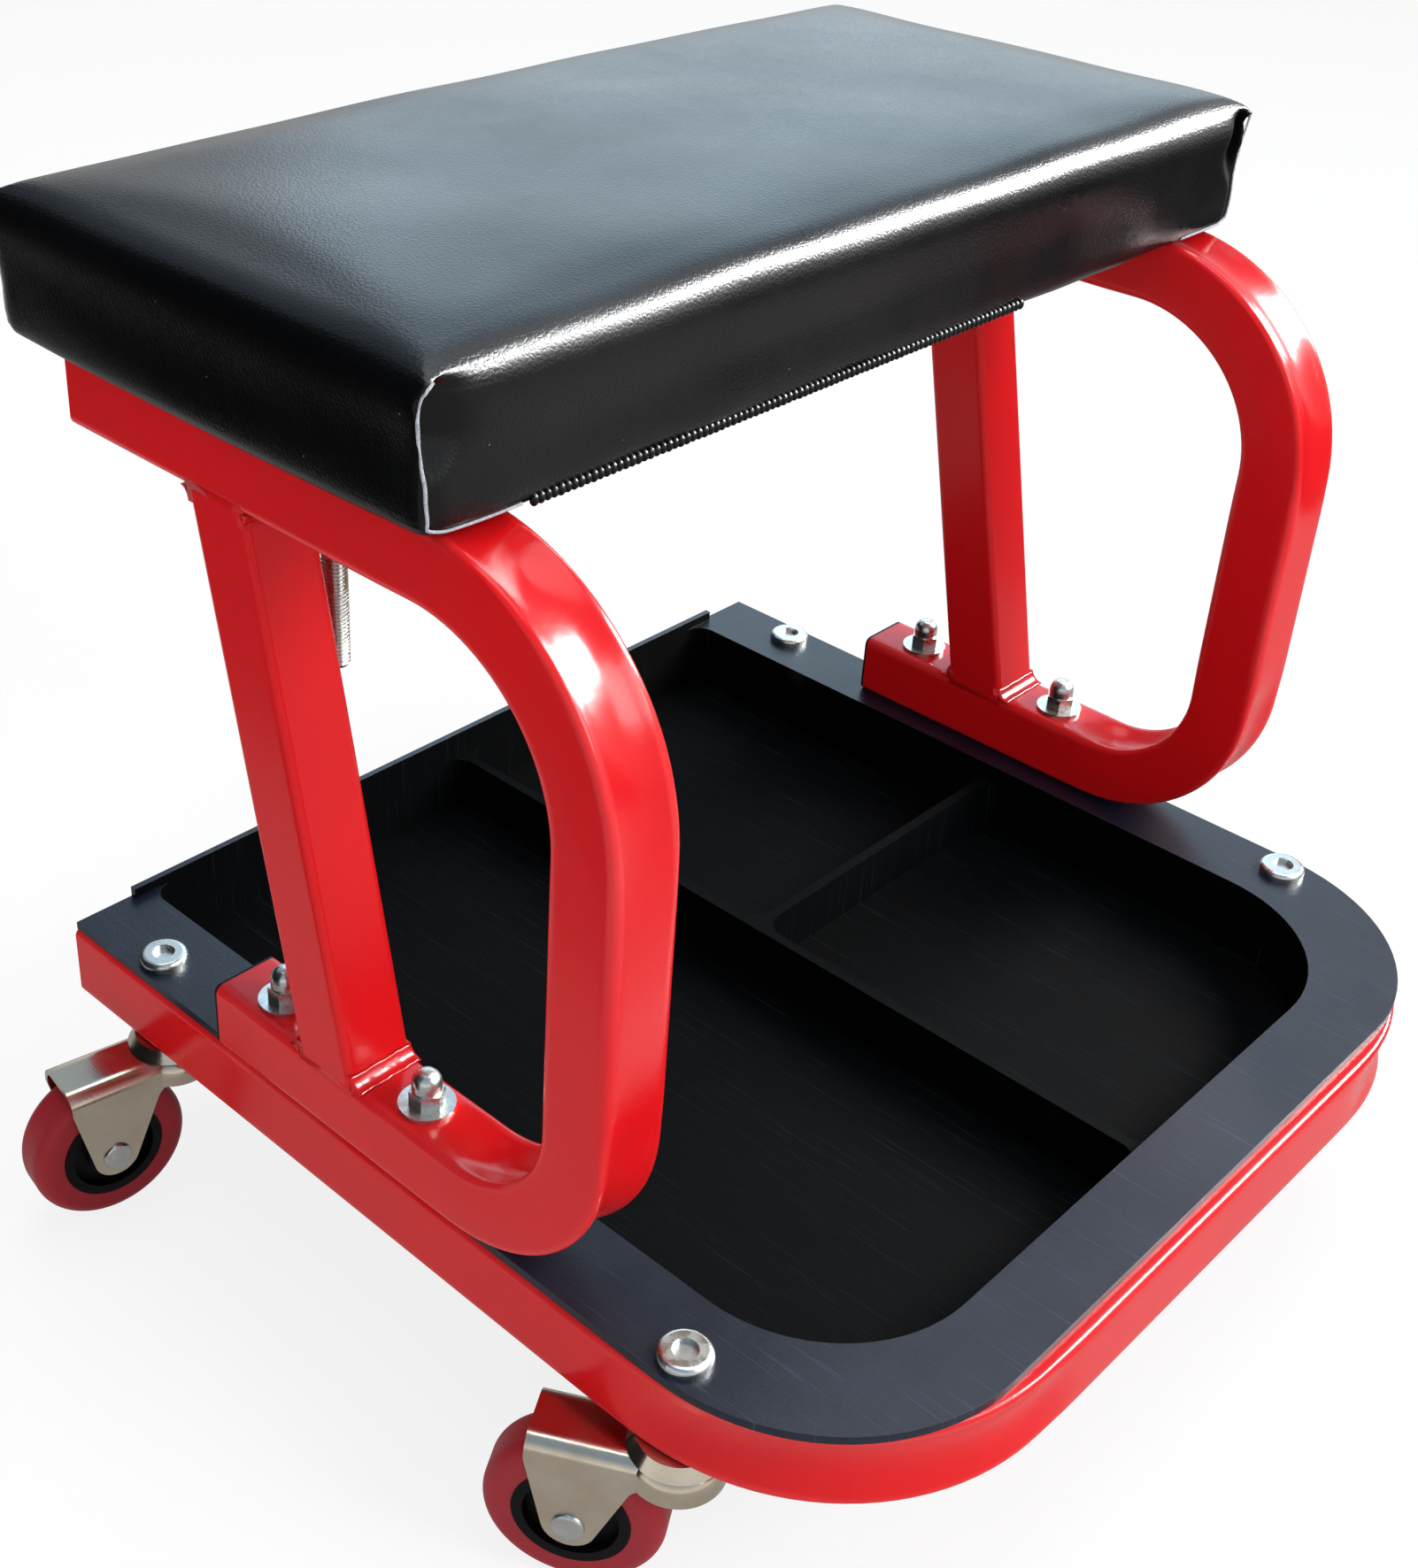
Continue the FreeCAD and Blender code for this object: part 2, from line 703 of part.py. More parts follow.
def build_castor_fasteners():
    x, y = castor_x, castor_front_y
    nut_floor = kingpin_foot - s.nut_height
    bolts = new_node("castor_bolts")
    round_head(bolts, x, y, leg_floor, s.round_head_width, "up")
    recess = new_sketch(bolts, "XY_Plane", across=x, up=y, along=leg_floor + s.round_head_height)
    add_circle(recess, 0, 0, s.round_head_recess)
    pocket(bolts, recess, s.recess_depth)
    shank(bolts, x, y, nut_floor - s.bolt_tail, leg_floor)
    in_fours(bolts, castor_gap)
    nuts = new_node("castor_nuts")
    hex_block(nuts, x, y, nut_floor, s.nut_height, thread_bore)
    in_fours(nuts, castor_gap)


# One castor. Its own X axis points from the kingpin to the wheel, which trails.
def build_castor(place, x, y, turn):
    def piece(name):
        return new_node(f"castor_{name}_{place}", x=x, y=y, turn=turn)

    def wheel_piece(name):
        return new_node(f"{name}_{place}", x=x + s.castor_trail * cosine(turn),
                        y=y + s.castor_trail * sine(turn), z=wheel_radius, turn=turn)

    race = piece("race")
    top, under = castor_height, castor_height - s.race_plate
    hole, lip = kingpin_hole / 2, fork_top + s.side_gap
    turn_piece(race, 0, 0, [(hole, under), (s.race_top / 2 - s.race_plate, under),
                            (s.race_rim / 2 - s.race_plate, lip), (s.race_rim / 2, lip),
                            (s.race_top / 2, top), (hole, top)])
    kingpin = piece("kingpin")
    pin, bore, head = s.kingpin_width / 2, bolt_hole / 2, s.kingpin_head_width / 2
    shoulder = kingpin_foot + s.kingpin_head
    turn_piece(kingpin, 0, 0, [(bore, kingpin_foot), (head, kingpin_foot), (head, shoulder),
                               (pin, shoulder), (pin, top), (bore, top)])
    balls = piece("balls")
    ball = balls.newObject("PartDesign::AdditiveSphere", f"{balls.Name}_ball")
    ball.AttachmentSupport = [(origin_of(balls, "XY_Plane"), "")]
    ball.MapMode = "FlatFace"
    bind(ball, "AttachmentOffset.Base.x", s.ball_ring / 2)
    bind(ball, "AttachmentOffset.Base.z", fork_top + s.ball_size / 2)
    bind(ball, "Radius", s.ball_size / 2)
    ring(balls, ball_count)
    build_fork(piece("fork"))
    axle = wheel_piece("axle")
    rod = new_sketch(axle, "XZ_Plane")
    add_circle(rod, 0, 0, s.axle_size)
    pad(axle, rod, fork_half * 2, way="both")
    for way, along in (("up", fork_half), ("down", -fork_half)):
        head_face = new_sketch(axle, "XZ_Plane", along=along)
        add_circle(head_face, 0, 0, s.axle_head_width)
        pad(axle, head_face, s.axle_head_height, way=way)
    tip = fork_half + s.axle_head_height

    def at_tip(edge):
        box = edge.BoundBox
        return box.YLength < same_place and abs(abs(box.YMin) - tip.value) < same_place

    round_edges(axle, s.axle_head_height * round_share, at_tip)
    bush = wheel_piece("axle_bush")
    sleeve = new_sketch(bush, "XZ_Plane")
    add_circle(sleeve, 0, 0, s.bush_width)
    add_circle(sleeve, 0, 0, axle_hole)
    pad(bush, sleeve, fork_opening, way="both")
    hub = wheel_piece("wheel_hub")
    inner, outer = s.bush_width / 2 + s.run_gap, wheel_radius - s.tyre_depth
    wide, web = hub_width / 2, hub_width / 2 - s.hub_recess
    boss, rim = s.hub_boss / 2, outer - s.hub_rim
    section = new_sketch(hub, "YZ_Plane")
    add_outline(section, [(-wide, inner), (wide, inner), (wide, boss), (web, boss), (web, rim), (wide, rim),
                          (wide, outer), (-wide, outer), (-wide, rim), (-web, rim), (-web, boss),
                          (-wide, boss)])
    revolve(hub, section, "H_Axis")
    tyre = wheel_piece("wheel_tyre")
    tread = new_sketch(tyre, "YZ_Plane")
    half = s.tyre_width / 2
    add_outline(tread, [(-half, outer), (half, outer), (half, wheel_radius, s.tyre_round),
                        (-half, wheel_radius, s.tyre_round)])
    revolve(tyre, tread, "H_Axis")


# The direction from a circle's middle to where a line from a spot touches it, on the side of the given sign.
def touch_angle(spot, middle, radius, side):
    across, up = spot[0].value - middle[0].value, spot[1].value - middle[1].value
    return math.atan2(up, across) + side * math.acos(radius.value / math.hypot(across, up))


# A pressed fork: two cheeks that taper to the axle, a round nose about the kingpin, and a hollow below.
def build_fork(body):
    middle = (s.castor_trail, wheel_radius)
    reach = s.castor_trail + s.fork_past_axle
    skirt_low = fork_top - s.fork_skirt
    rear_top, rear_low = (reach, fork_top), (reach, fork_top - s.fork_cheek)
    throat = (s.fork_front + s.throat_past_front, skirt_low)
    front_low, front_top = (s.fork_front, skirt_low), (s.fork_front, fork_top)
    angles = [touch_angle(throat, middle, s.fork_tip, 1), touch_angle(rear_low, middle, s.fork_tip, -1)]
    centre = Vector(middle[0].value, middle[1].value, 0)
    ends = [centre + Vector(math.cos(angle), math.sin(angle), 0) * s.fork_tip.value for angle in angles]
    cheeks = new_sketch(body, "XZ_Plane")

    def line(start, end):
        spots = [spot if isinstance(spot, Vector) else Vector(spot[0].value, spot[1].value, 0)
                 for spot in (start, end)]
        return cheeks.addGeometry(Part.LineSegment(*spots))

    rear = line(rear_top, rear_low)
    rear_slant = line(rear_low, ends[1])
    front_slant = line(ends[0], throat)
    skirt = line(throat, front_low)
    front = line(front_low, front_top)
    lid = line(front_top, rear_top)
    circle = Part.Circle(centre, Vector(0, 0, 1), s.fork_tip.value)
    tip = cheeks.addGeometry(Part.ArcOfCircle(circle, angles[0] % math.tau, angles[1] % math.tau))
    for before, after in ((rear, rear_slant), (front_slant, skirt), (skirt, front), (front, lid), (lid, rear)):
        cheeks.addConstraint(Sketcher.Constraint("Coincident", before, 2, after, 1))
    cheeks.addConstraint(Sketcher.Constraint("Tangent", rear_slant, 2, tip, 2))
    cheeks.addConstraint(Sketcher.Constraint("Tangent", tip, 1, front_slant, 1))
    for item, spot in ((rear, rear_top), (rear_slant, rear_low), (skirt, throat), (front, front_low),
                       (lid, front_top)):
        hold_point(cheeks, item, 1, *spot)
    hold_point(cheeks, tip, 3, *middle)
    hold(cheeks, "Radius", s.fork_tip, tip)
    pad(body, cheeks, fork_half * 2, way="both")

    def at_throat(edge):
        box = edge.BoundBox
        return max(box.XLength, box.ZLength, abs(box.XMin - throat[0].value),
                   abs(box.ZMin - throat[1].value)) < same_place

    round_edges(body, s.fork_throat, at_throat)
    top_edge = flat_at(fork_top)
    outer_bend = s.fork_bend + s.fork_sheet
    round_edges(body, outer_bend, lambda edge: top_edge(edge) and edge.BoundBox.YLength < same_place)
    turn_piece(body, 0, 0, [(0, skirt_low), (s.fork_nose, skirt_low), (s.fork_nose, fork_top, outer_bend),
                            (0, fork_top)])
    bowl = new_sketch(body, "XY_Plane", along=fork_under)
    add_circle(bowl, 0, 0, (s.fork_nose - s.bowl_wall) * 2)
    pocket(body, bowl, s.fork_skirt)
    slot = new_sketch(body, "XY_Plane", along=fork_under)
    half = fork_opening / 2
    add_rectangle(slot, 0, reach + s.fork_sheet, -half, half)
    pocket(body, slot, fork_under)
    ceiling = flat_at(fork_under)

    def along_bend(edge):
        return ceiling(edge) and edge.BoundBox.YLength < same_place

    round_edges(body, s.fork_bend, along_bend)
    drill(body, [(0, 0)], kingpin_hole)
    axle_sketch = new_sketch(body, "XZ_Plane")
    add_circle(axle_sketch, *middle, axle_hole)
    pocket(body, axle_sketch, way="both")


# The cushion, from its top downwards to the belly, and its corners seen from above
seat_rim = s.seat_thick - s.seat_crown
seat_belly = seat_rim - s.seat_round - s.side_flat
seat_corner = s.seat_round + s.corner_past_round
foot_corner = seat_corner - s.seat_draw


# The cushion's outer form, drawn in at the foot and crowned on top, smaller by the inset all round.
def cushion(name, inset):
    body = new_body(name, y=seat_y, z=seat_floor)
    half_x, half_y = seat_width / 2 - inset, seat_depth / 2 - inset
    rim, rounding = seat_rim - inset, s.seat_round - inset

    def level(height, draw, corner):
        sketch = new_sketch(body, "XY_Plane", along=height)
        add_rectangle(sketch, draw - half_x, half_x - draw, draw - half_y, half_y - draw, corner)
        return sketch

    def loft(rings):
        feature = add_feature(body, "AdditiveLoft", rings[0])
        feature.Sections = rings[1:]
        doc.recompute()

    belly = level(seat_belly, as_size(0), seat_corner - inset)
    loft([level(inset, s.seat_draw, foot_corner - inset), belly])
    pad(body, belly, rim - seat_belly)
    round_edges(body, rounding, flat_at(rim))
    doc.recompute()
    # The crown rises from just inside the rounded rim, in steps that follow a shallow arch
    start = rounding + s.crown_margin
    loft([level(rim + s.seat_crown * rise, start + (half_y - start) * way, seat_corner)
          for way, rise in crown_steps])
    return body


# An upright block with rounded corners that is centred on the seat.
def seat_block(body, half_x, half_y, low, height, corner):
    sketch = new_sketch(body, "XY_Plane", along=low)
    add_rectangle(sketch, -half_x, half_x, -half_y, half_y, corner)
    pad(body, sketch, height)


def boolean(kind, name, base, tool):
    result = doc.addObject(f"Part::{kind}", name)
    result.Base = base
    result.Tool = tool
    doc.recompute()
    return result


board_floor = s.cover_thick + s.foam_gap
board_top = board_floor + s.board_thick
insert_spots = seat_bolt_spots + [(stud_x, stud_y)]
# Cuts through the hem run one thickness past it on either side
hem_cut = s.cover_thick * 3


def build_cover():
    half_y = seat_depth / 2 - s.seat_draw - s.cover_hem
    opening = new_body("cover_opening", y=seat_y, z=seat_floor)
    seat_block(opening, stud_edge + s.hem_room, half_y, -s.cover_thick, hem_cut, seat_corner)
    drill_bits = new_body("cover_holes", z=seat_floor)
    sketch = new_sketch(drill_bits, "XY_Plane", along=-s.cover_thick)
    for x, y in seat_bolt_spots:
        add_circle(sketch, x, y, bolt_hole)
    pad(drill_bits, sketch, hem_cut)
    form, hollow = cushion("cover_form", as_size(0)), cushion("cover_hollow", s.cover_thick)
    shell = boolean("Cut", "cover_shell", form, hollow)
    hemmed = boolean("Cut", "cover_hemmed", shell, opening)
    nodes.append(boolean("Cut", "seat_cover", hemmed, drill_bits))


def build_foam():
    below = new_body("foam_floor", y=seat_y, z=seat_floor)
    seat_block(below, seat_width, seat_depth, -s.seat_thick, s.seat_thick + board_top, seat_corner)
    nodes.append(boolean("Cut", "seat_foam", cushion("foam_form", board_floor), below))


def build_board():
    body = new_node("seat_board", z=seat_floor)
    half_x = seat_width / 2 - s.seat_draw - board_floor
    half_y = seat_depth / 2 - s.seat_draw - board_floor
    sketch = new_sketch(body, "XY_Plane", up=seat_y, along=board_floor)
    add_rectangle(sketch, -half_x, half_x, -half_y, half_y, foot_corner - board_floor)
    pad(body, sketch, s.board_thick)
    barrels = new_sketch(body, "XY_Plane", along=board_top)
    flanges = new_sketch(body, "XY_Plane", along=board_top)
    for x, y in insert_spots:
        add_circle(barrels, x, y, s.insert_barrel + s.slip_gap * 2)
        add_circle(flanges, x, y, s.insert_flange + s.slip_gap * 2)
    pocket(body, barrels)
    pocket(body, flanges, s.insert_flange_thick)


def build_inserts():
    body = new_node("seat_inserts", z=seat_floor)
    for width, low in ((s.insert_flange, board_top - s.insert_flange_thick), (s.insert_barrel, board_floor)):
        sketch = new_sketch(body, "XY_Plane", along=low)
        for x, y in insert_spots:
            add_circle(sketch, x, y, width)
        pad(body, sketch, board_top - low)
    threads = new_sketch(body, "XY_Plane", along=board_top)
    for x, y in insert_spots:
        add_circle(threads, x, y, thread_bore)
    pocket(body, threads)


def build_seat_fasteners():
    x, y = leg_x, seat_bolt_front_y
    bolts = new_node("seat_bolts")
    head_top = seat_floor - s.leg_wall - s.washer_thick
    hex_block(bolts, x, y, head_top - s.hex_head, s.hex_head)
    shank(bolts, x, y, head_top, seat_floor + board_top - s.bolt_tail)
    in_fours(bolts, seat_bolt_gap)
    washers = new_node("seat_washers")
    washer(washers, x, y, head_top)
    in_fours(washers, seat_bolt_gap)
    stud = new_node("hanging_stud")
    shank(stud, stud_x, stud_y, seat_floor - s.stud_hang, seat_floor + board_top - s.bolt_tail)
    board_under = seat_floor + board_floor
    stud_washer = new_node("stud_washer")
    washer(stud_washer, stud_x, stud_y, board_under - s.washer_thick)
    stud_nut = new_node("stud_nut")
    nut_floor = board_under - s.washer_thick - s.nut_height
    hex_block(stud_nut, stud_x, stud_y, nut_floor, s.nut_height, thread_bore)


# Wire staples through the hem into the board, in a row along the front and another along the rear.
def build_staples():
    body = new_node("cover_staples", y=seat_y, z=seat_floor)
    row_y = seat_depth / 2 - s.seat_draw - s.staple_edge
    half = s.staple_width / 2
    row_half = leg_inside - s.staple_room - half
    wire = s.staple_wire
    sketch = new_sketch(body, "XZ_Plane", across=-row_half, along=row_y)
    add_outline(sketch, [(-half, -wire), (half, -wire), (half, s.staple_leg), (half - wire, s.staple_leg),
                         (half - wire, 0), (-half + wire, 0), (-half + wire, s.staple_leg),
                         (-half, s.staple_leg)])
    pad(body, sketch, wire, way="both")
    repeat(body, "X_Axis", row_half * 2, staple_count)
    repeat(body, "Y_Axis", row_y * 2)


build_base_frame()
build_base_plugs()
build_tray()
for side_name, sign in (("left", -1), ("right", 1)):
    build_leg(side_name, leg_x * sign)
    build_strut(side_name, leg_x * sign)
build_leg_caps()
build_leg_fasteners()
build_castor_fasteners()
build_castor("front_left", -castor_x, castor_front_y, s.castor_front_turn)
build_castor("front_right", castor_x, castor_front_y, 180 - s.castor_front_turn)
build_castor("rear_left", -castor_x, castor_rear_y, s.castor_rear_turn)
build_castor("rear_right", castor_x, castor_rear_y, 180 - s.castor_rear_turn)
build_board()
build_foam()
build_cover()
build_staples()
build_inserts()
build_seat_fasteners()

doc.recompute()
for item in doc.Objects:
    if "Invalid" in item.State or "Error" in item.State:
        raise RuntimeError(f"{item.Label} failed: {item.getStatusString()}")
for node in nodes:
    if node.Shape.isNull() or not node.Shape.isValid():
        raise RuntimeError(f"{node.Label} has no valid shape")

os.makedirs("parts", exist_ok=True)
for node in nodes:
    node.Shape.exportStep(f"parts/{node.Label}.step")
    print(f"{node.Label}: {len(node.Shape.Solids)} solids, {node.Shape.Volume / 1000:.1f} cm3")
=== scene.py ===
import json
import math
import bmesh
import bpy
import numpy as np
from mathutils import Matrix, Vector
from mathutils.bvhtree import BVHTree


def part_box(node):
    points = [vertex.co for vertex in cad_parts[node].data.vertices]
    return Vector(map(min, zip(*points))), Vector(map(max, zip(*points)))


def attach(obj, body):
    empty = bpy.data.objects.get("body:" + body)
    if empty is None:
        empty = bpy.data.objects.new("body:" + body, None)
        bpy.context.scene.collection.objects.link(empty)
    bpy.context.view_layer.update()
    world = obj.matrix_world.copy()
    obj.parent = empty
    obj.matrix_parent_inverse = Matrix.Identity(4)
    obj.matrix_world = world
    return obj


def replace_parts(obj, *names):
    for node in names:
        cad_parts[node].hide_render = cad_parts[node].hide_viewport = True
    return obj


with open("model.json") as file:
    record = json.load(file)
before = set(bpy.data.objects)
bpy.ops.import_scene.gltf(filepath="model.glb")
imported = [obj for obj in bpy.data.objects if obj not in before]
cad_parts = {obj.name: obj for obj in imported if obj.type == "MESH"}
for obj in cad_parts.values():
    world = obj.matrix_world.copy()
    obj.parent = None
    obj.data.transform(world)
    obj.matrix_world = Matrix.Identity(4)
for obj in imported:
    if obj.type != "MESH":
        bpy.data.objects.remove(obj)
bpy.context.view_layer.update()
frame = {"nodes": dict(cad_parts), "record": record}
nodes = frame["nodes"]
scene = bpy.context.scene
print("frame loaded:", len(nodes), "nodes")


def linear(hexCode):
    parts = [int(hexCode[i:i + 2], 16) / 255 for i in (1, 3, 5)]
    return [p / 12.92 if p <= 0.04045 else ((p + 0.055) / 1.055) ** 2.4 for p in parts] + [1.0]


def addNode(tree, kind, inputs=None, **settings):
    node = tree.nodes.new(kind)
    for name, value in settings.items():
        setattr(node, name, value)
    for key, value in (inputs or {}).items():
        if isinstance(value, bpy.types.NodeSocket):
            tree.links.new(value, node.inputs[key])
        else:
            node.inputs[key].default_value = value
    return node


def newMaterial(name):
    material = bpy.data.materials.new(name)
    material.use_nodes = True
    material.node_tree.nodes.clear()
    return material, material.node_tree, addNode(material.node_tree, "ShaderNodeTexCoord").outputs["Object"]


def noise(tree, place, sizeMm, detail, rough=0.5):
    return addNode(tree, "ShaderNodeTexNoise", {"Vector": place, "Scale": 1000 / sizeMm, "Detail": detail,
                                                "Roughness": rough}).outputs["Fac"]


def mixed(tree, share, first, second):
    return addNode(tree, "ShaderNodeMix", {0: share, 6: first, 7: second}, data_type="RGBA").outputs[2]


def ranged(tree, value, fromRange=(0.0, 1.0), toRange=(0.0, 1.0)):
    return addNode(tree, "ShaderNodeMapRange", {"Value": value, "From Min": fromRange[0], "From Max": fromRange[1],
                                                "To Min": toRange[0], "To Max": toRange[1]}).outputs["Result"]


def product(tree, first, second):
    return addNode(tree, "ShaderNodeMath", {0: first, 1: second}, operation="MULTIPLY").outputs[0]


def bumped(tree, height, strength, distance=0.0003):
    return addNode(tree, "ShaderNodeBump", {"Height": height, "Strength": strength,
                                            "Distance": distance}).outputs["Normal"]


def finishMaterial(tree, inputs):
    shader = addNode(tree, "ShaderNodeBsdfPrincipled", inputs)
    addNode(tree, "ShaderNodeOutputMaterial", {"Surface": shader.outputs["BSDF"]})


# Polyester powder baked on steel tube: a deep glossy film with faint orange peel; its corners are painted a paler
# red, as a painted highlight
powderCoat = {"film": "#e6161b", "thin": "#d41118", "cornerHighlight": "#ee4a4c", "peelMm": 3.5, "cloudMm": 60}


def powderCoatedSteel():
    material, tree, place = newMaterial("powderCoatedSteel")
    peel = noise(tree, place, powderCoat["peelMm"], 2.0)
    cloud = noise(tree, place, powderCoat["cloudMm"], 3.0)
    film = mixed(tree, cloud, linear(powderCoat["film"]), linear(powderCoat["thin"]))
    # Paler red on the tube corners, patchy with the cloud: a painted highlight, not wear
    corner = addNode(tree, "ShaderNodeAttribute", attribute_name="corner").outputs["Fac"]
    worn = ranged(tree, product(tree, corner, cloud), (0.35, 0.75), (0.0, 0.5))
    finishMaterial(tree, {
        "Base Color": mixed(tree, worn, film, linear(powderCoat["cornerHighlight"])),
        "Roughness": ranged(tree, cloud, toRange=(0.15, 0.27)), "Normal": bumped(tree, peel, 0.12, 0.0004),
        "IOR": 1.5, "Specular IOR Level": 0.26, "Coat Weight": 0.03, "Coat Roughness": 0.06})
    return material


# Polypropylene from a spark-eroded mould: black and dull in the basin, with a few pale scuffs from use. The basin's
# black is deepened as painted shade.
# The flange is polished smoother by use, and its blue-grey colour is a painted reflection of a bluish sky, not the
# plastic's own colour.
trayPlastic = {"grainMm": 0.9, "scuffMm": 0.5, "reachMm": 45, "dustMm": 70}
basinShadePainted = {"bulk": "#030506", "dust": "#080b0d", "scuff": "#262b30", "gloss": (0.62, 0.8), "specular": 0.03}
flangeSheenPainted = {"bulk": "#0a1526", "dust": "#14233a", "scuff": "#3c4d62", "gloss": (0.28, 0.42), "specular": 0.36}


def mouldedPolypropylene(name, finish):
    material, tree, place = newMaterial(name)
    grain = noise(tree, place, trayPlastic["grainMm"], 3.0)
    dust = noise(tree, place, trayPlastic["dustMm"], 5.0, 0.65)
    dusty = ranged(tree, dust, (0.5, 0.8), (0.0, 0.7))
    colour = mixed(tree, dusty, linear(finish["bulk"]), linear(finish["dust"]))
    across, along = 1000 / trayPlastic["scuffMm"], 1000 / trayPlastic["reachMm"]
    for turn, cut in ((0.45, 0.70), (-0.9, 0.71), (1.7, 0.72)):
        slide = addNode(tree, "ShaderNodeMapping", {"Vector": place, "Rotation": (0, 0, turn),
                                                    "Scale": (across, along, along)})
        lines = noise(tree, slide.outputs["Vector"], 1000, 1.0)
        thin = ranged(tree, lines, (cut, cut + 0.05), (0.0, 0.55))
        colour = mixed(tree, thin, colour, linear(finish["scuff"]))
    finishMaterial(tree, {
        "Base Color": colour, "Roughness": ranged(tree, dust, toRange=finish["gloss"]),
        "Normal": bumped(tree, grain, 0.22), "IOR": 1.49, "Specular IOR Level": finish["specular"]})
    return material


# Polyethylene caps and nylon hubs, moulded: black, softly shiny, with a little grey dust
mouldedDustMm = 14


def mouldedBlack(name, bulk, dust, gloss, grainMm):
    material, tree, place = newMaterial(name)
    grain = noise(tree, place, grainMm, 2.0)
    cloud = noise(tree, place, mouldedDustMm, 5.0, 0.6)
    finishMaterial(tree, {
        "Base Color": mixed(tree, cloud, linear(bulk), linear(dust)), "Roughness": ranged(tree, cloud, toRange=gloss),
        "Normal": bumped(tree, grain, 0.15), "IOR": 1.51, "Specular IOR Level": 0.1})
    return material


# Steel with a bright plating: crystalline zinc is a grey mirror in patches, a pressed sheet keeps faint draw lines
def platedSteel(name, bright, dull, gloss, patchMm, drawMm):
    material, tree, place = newMaterial(name)
    patch = noise(tree, place, patchMm, 4.0, 0.6)
    stretch = addNode(tree, "ShaderNodeMapping", {"Vector": place, "Rotation": (0.2, 0.1, 0.5),
                                                  "Scale": (1000 / drawMm, 60, 1000 / drawMm)})
    draw = noise(tree, stretch.outputs["Vector"], 1000, 2.0)
    finishMaterial(tree, {
        "Base Color": mixed(tree, patch, linear(bright), linear(dull)), "Metallic": 1.0,
        "Roughness": ranged(tree, patch, (0.3, 0.7), gloss), "Normal": bumped(tree, draw, 0.08)})
    return material


# Cast polyurethane tread: dark red, waxy, with floor dust that dulls it
tread = {"bulk": "#a31c28", "dust": "#8b3238", "dustMm": 9, "pitMm": 0.7}


def castPolyurethane():
    material, tree, place = newMaterial("castPolyurethane")
    cloud = noise(tree, place, tread["dustMm"], 6.0, 0.65)
    pits = noise(tree, place, tread["pitMm"], 2.0)
    dusty = ranged(tree, cloud, (0.45, 0.8), (0.0, 0.55))
    finishMaterial(tree, {
        "Base Color": mixed(tree, dusty, linear(tread["bulk"]), linear(tread["dust"])),
        "Roughness": ranged(tree, cloud, toRange=(0.3, 0.55)), "Normal": bumped(tree, pits, 0.12, 0.0004),
        "IOR": 1.5, "Specular IOR Level": 0.3,
        "Subsurface Weight": 0.05, "Subsurface Radius": (0.004, 0.001, 0.001)})
    return material


# PVC-coated cloth embossed with a leather grain: black, satin, with a few pale specks of dust.
# The grain is drawn at about twice its real size, so that it shows.
vinyl = {"bulk": "#030405", "worn": "#08090b", "speck": "#8f9698", "grainMm": 1.5, "wanderMm": 4.5, "cloudMm": 90,
         "speckMm": 9, "speckSize": 0.035}


def embossedVinyl():
    material, tree, place = newMaterial("embossedVinyl")
    wander = addNode(tree, "ShaderNodeTexNoise", {"Vector": place, "Scale": 1000 / vinyl["wanderMm"], "Detail": 2.0})
    bent = addNode(tree, "ShaderNodeMix", {0: 0.0012, 6: place, 7: wander.outputs["Color"]}, data_type="RGBA",
                   blend_type="ADD")
    cells = addNode(tree, "ShaderNodeTexVoronoi", {"Vector": bent.outputs[2], "Scale": 1000 / vinyl["grainMm"]},
                    feature="DISTANCE_TO_EDGE")
    pebble = ranged(tree, cells.outputs["Distance"], (0.0, 0.25))
    cloud = noise(tree, place, vinyl["cloudMm"], 4.0, 0.6)
    dots = addNode(tree, "ShaderNodeTexVoronoi", {"Vector": place, "Scale": 1000 / vinyl["speckMm"]})
    dot = ranged(tree, dots.outputs["Distance"], (vinyl["speckSize"], vinyl["speckSize"] * 0.6), (0.0, 0.5))
    colour = mixed(tree, cloud, linear(vinyl["bulk"]), linear(vinyl["worn"]))
    finishMaterial(tree, {
        "Base Color": mixed(tree, dot, colour, linear(vinyl["speck"])),
        "Roughness": ranged(tree, cloud, (0.3, 0.7), (0.25, 0.36)), "Normal": bumped(tree, pebble, 0.14),
        "IOR": 1.53, "Specular IOR Level": 0.25})
    return material


# The cut edge of that cloth: a pale knitted backing between two coats
knit = {"pale": "#c3c7cf", "grey": "#8b8f97", "loopMm": 0.8}


def knittedBacking():
    material, tree, place = newMaterial("knittedBacking")
    knots = addNode(tree, "ShaderNodeTexVoronoi", {"Vector": place, "Scale": 1000 / knit["loopMm"]})
    loops = knots.outputs["Distance"]
    finishMaterial(tree, {
        "Base Color": mixed(tree, loops, linear(knit["pale"]), linear(knit["grey"])), "Roughness": 0.8,
        "Normal": bumped(tree, loops, 0.4, 0.0002), "IOR": 1.45})
    return material


# Rotary-cut poplar plywood, unfinished: long soft figure on the faces
board = {"pale": "#c79d68", "dark": "#94673a", "figureMm": 84, "poreMm": 0.7}


def rawPlywood():
    material, tree, place = newMaterial("rawPlywood")
    slow = addNode(tree, "ShaderNodeMapping", {"Vector": place, "Scale": (0.12, 1.0, 1.0)}).outputs["Vector"]
    figure = addNode(tree, "ShaderNodeTexWave", {"Vector": slow, "Scale": 1000 / board["figureMm"],
                                                 "Distortion": 7.0, "Detail": 3.0}, bands_direction="Y")
    pores = noise(tree, slow, board["poreMm"], 2.0)
    both = product(tree, figure.outputs["Fac"], pores)
    finishMaterial(tree, {
        "Base Color": mixed(tree, both, linear(board["pale"]), linear(board["dark"])), "Roughness": 0.72,
        "Normal": bumped(tree, pores, 0.2), "IOR": 1.5})
    return material


